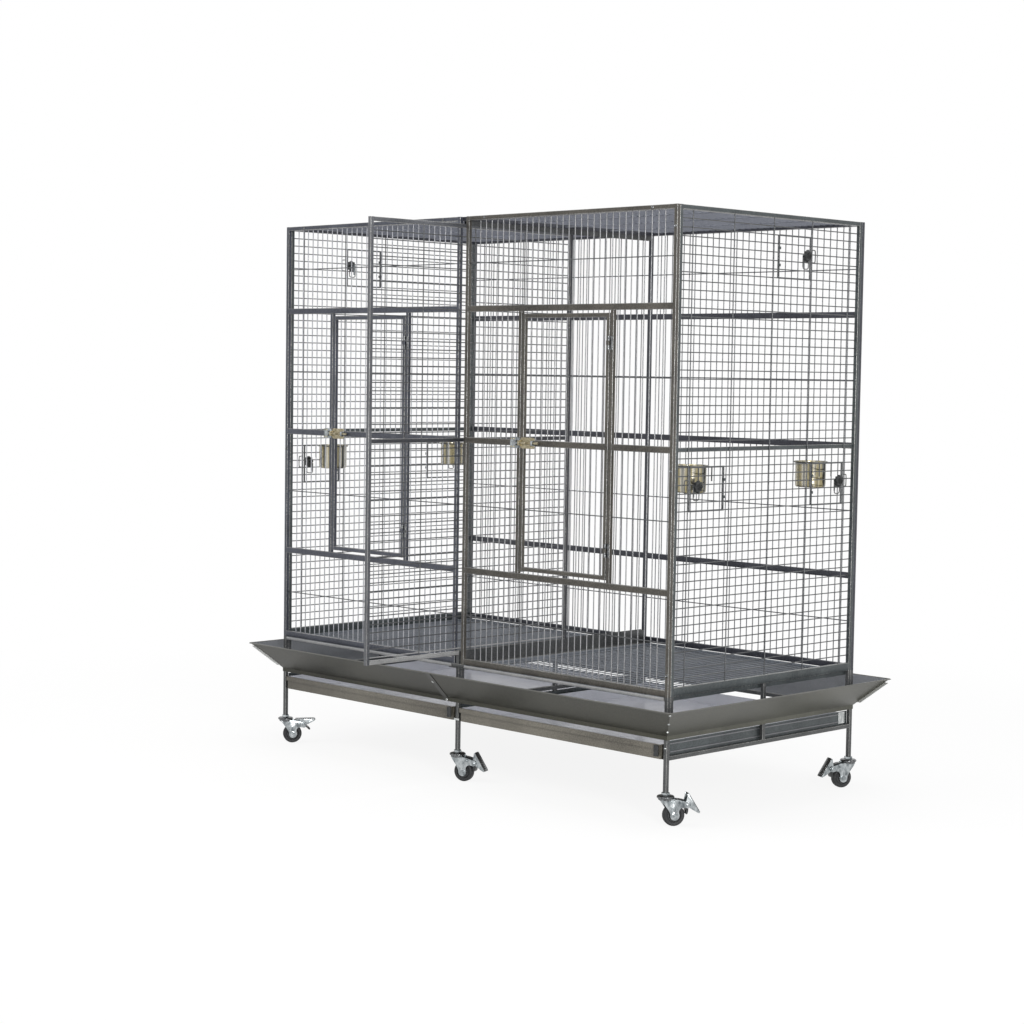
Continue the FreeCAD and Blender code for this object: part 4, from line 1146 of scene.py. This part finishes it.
# a raised strip over each guard seam, its near-black coat a painted shade of the seam
lap = cutPlate("lap", lapLine, lapSizes["to"] - lapSizes["from"], lapSizes["from"])
lap.data.transform(Matrix(((0, 1, 0, 0), (-1, 0, 0, frontY), (0, 0, 1, 0), (0, 0, 0, 1))))
softenEdges(lap, lapSizes["edge"], 1)
laps = joined("guardLaps", [lap, copied(lap, "lap", halfTurn)])
finished(laps, "cage", coats["lap"])

for side in ("left", "right"):
    low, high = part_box("tray_" + side)
    c = catchSizes
    x1 = high.x / mm - c["sideIn"]
    y0 = low.y / mm
    catch = bar("trayCatch_" + side, (x1 - c["width"], y0 - c["proud"], low.z / mm + c["foot"]),
                (x1, y0 + c["sunk"], high.z / mm - c["top"]))
    editAll(catch)
    pickParts("FACE", lambda f: f.normal.y < -0.9)
    bpy.ops.mesh.inset(thickness=c["frame"] * mm)
    bpy.ops.transform.translate(value=(0, c["recess"] * mm, 0))
    objectMode()
    softenEdges(catch, c["edge"])
    finished(catch, bodyOf["tray_" + side], blackKnob)
print("hems and catches made")


# studio

studio = {"worldLight": 0.42, "floorSize": 60.0, "floorGlow": 0.88, "floorColour": 0.14, "floorRough": 0.9,
          "glowReach": (1.6, 3.4), "lampAim": (0, 0, 1.0)}


def larger(tree, first, second):
    return added(tree, "Math", {0: first, 1: second}, operation="MAXIMUM").outputs["Value"]


def floorFinish():
    # the camera and the metal see the floor glow, fading to plain white further out
    finish, tree, shader = newFinish("paleFloor")
    fed(tree, shader, {"Base Color": (studio["floorColour"],) * 3 + (1,), "Roughness": studio["floorRough"],
                       "Specular IOR Level": 0.0})
    body = shader.outputs["BSDF"]
    place = added(tree, "TexCoord").outputs["Object"]
    reach = added(tree, "VectorMath", {0: place}, operation="LENGTH").outputs["Value"]
    start, end = studio["glowReach"]
    fade = added(tree, "MapRange", {"Value": reach, "From Min": start, "From Max": end},
                 interpolation_type="SMOOTHSTEP").outputs["Result"]
    glow = added(tree, "Emission", {"Strength": studio["floorGlow"]}).outputs["Emission"]
    near = added(tree, "AddShader", {0: body, 1: glow}).outputs["Shader"]
    white = added(tree, "Emission").outputs["Emission"]
    spread = added(tree, "MixShader", {"Fac": fade, 1: near, 2: white}).outputs["Shader"]
    path = added(tree, "LightPath").outputs
    seen = larger(tree, path["Is Camera Ray"], path["Is Glossy Ray"])
    choose = added(tree, "MixShader", {"Fac": seen, 1: body, 2: spread}).outputs["Shader"]
    fed(tree, tree.nodes["Material Output"], {"Surface": choose})
    return finish


pickNone()
bpy.ops.mesh.primitive_plane_add(size=studio["floorSize"], location=(0, 0, 0))
floor = bpy.context.object
floor.name = "studioFloor"
floor.data.materials.append(floorFinish())
floor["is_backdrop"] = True

world = bpy.data.worlds.new("studioWorld")
scene.world = world
world.use_nodes = True
tree = world.node_tree
tree.nodes.clear()
white = (1, 1, 1, 1)
soft = added(tree, "Background", {"Color": white, "Strength": studio["worldLight"]}).outputs["Background"]
backdrop = added(tree, "Background", {"Color": white}).outputs["Background"]
path = added(tree, "LightPath").outputs
seen = larger(tree, larger(tree, path["Is Camera Ray"], path["Is Glossy Ray"]), path["Is Transmission Ray"])
choose = added(tree, "MixShader", {"Fac": seen, 1: soft, 2: backdrop}).outputs["Shader"]
added(tree, "OutputWorld", {"Surface": choose})

# place, width, height, power and tint of each softbox, and whether it is mirrored in the metal
lampSpots = {"faceBox": ((4.3, -2.5, 1.4), 1.0, 2.2, 115, (1.0, 0.995, 0.985), True),
             "keyBox": ((-2.2, -3.4, 3.9), 2.4, 2.4, 62, (1.0, 0.985, 0.96), False),
             "topBox": ((0.2, 0.2, 4.8), 3.2, 3.2, 75, (1.0, 1.0, 1.0), True)}
for name, (spot, width, height, power, tint, mirrored) in lampSpots.items():
    data = bpy.data.lights.new(name, "AREA")
    data.shape = "RECTANGLE"
    data.size = width
    data.size_y = height
    data.energy = power
    data.color = tint
    lamp = bpy.data.objects.new(name, data)
    scene.collection.objects.link(lamp)
    lamp.location = spot
    lamp.rotation_euler = (Vector(studio["lampAim"]) - Vector(spot)).to_track_quat("-Z", "Y").to_euler()
    lamp.visible_camera = False
    lamp.visible_glossy = mirrored

cameraView = {"place": (4.79132, -4.93129, 1.30429), "azimuth": 45.434, "elevation": 3.887, "roll": 0.864,
              "lens": 73.335, "sensor": 36.0, "reach": 200.0}
az = math.radians(cameraView["azimuth"])
el = math.radians(cameraView["elevation"])
back = Vector((math.sin(az) * math.cos(el), -math.cos(az) * math.cos(el), math.sin(el)))
right = Vector((0, 0, 1)).cross(back).normalized()
up = back.cross(right)
roll = math.radians(cameraView["roll"])
rolledRight = math.cos(roll) * right + math.sin(roll) * up
rolledUp = math.cos(roll) * up - math.sin(roll) * right
lens = bpy.data.cameras.new("photoCamera")
lens.lens = cameraView["lens"]
lens.sensor_width = cameraView["sensor"]
lens.clip_end = cameraView["reach"]
camera = bpy.data.objects.new("photoCamera", lens)
scene.collection.objects.link(camera)
turn = Matrix((rolledRight, rolledUp, back)).transposed().to_4x4()
camera.matrix_world = Matrix.Translation(cameraView["place"]) @ turn
scene.camera = camera
print("studio ready")

objectMode()
low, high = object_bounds()
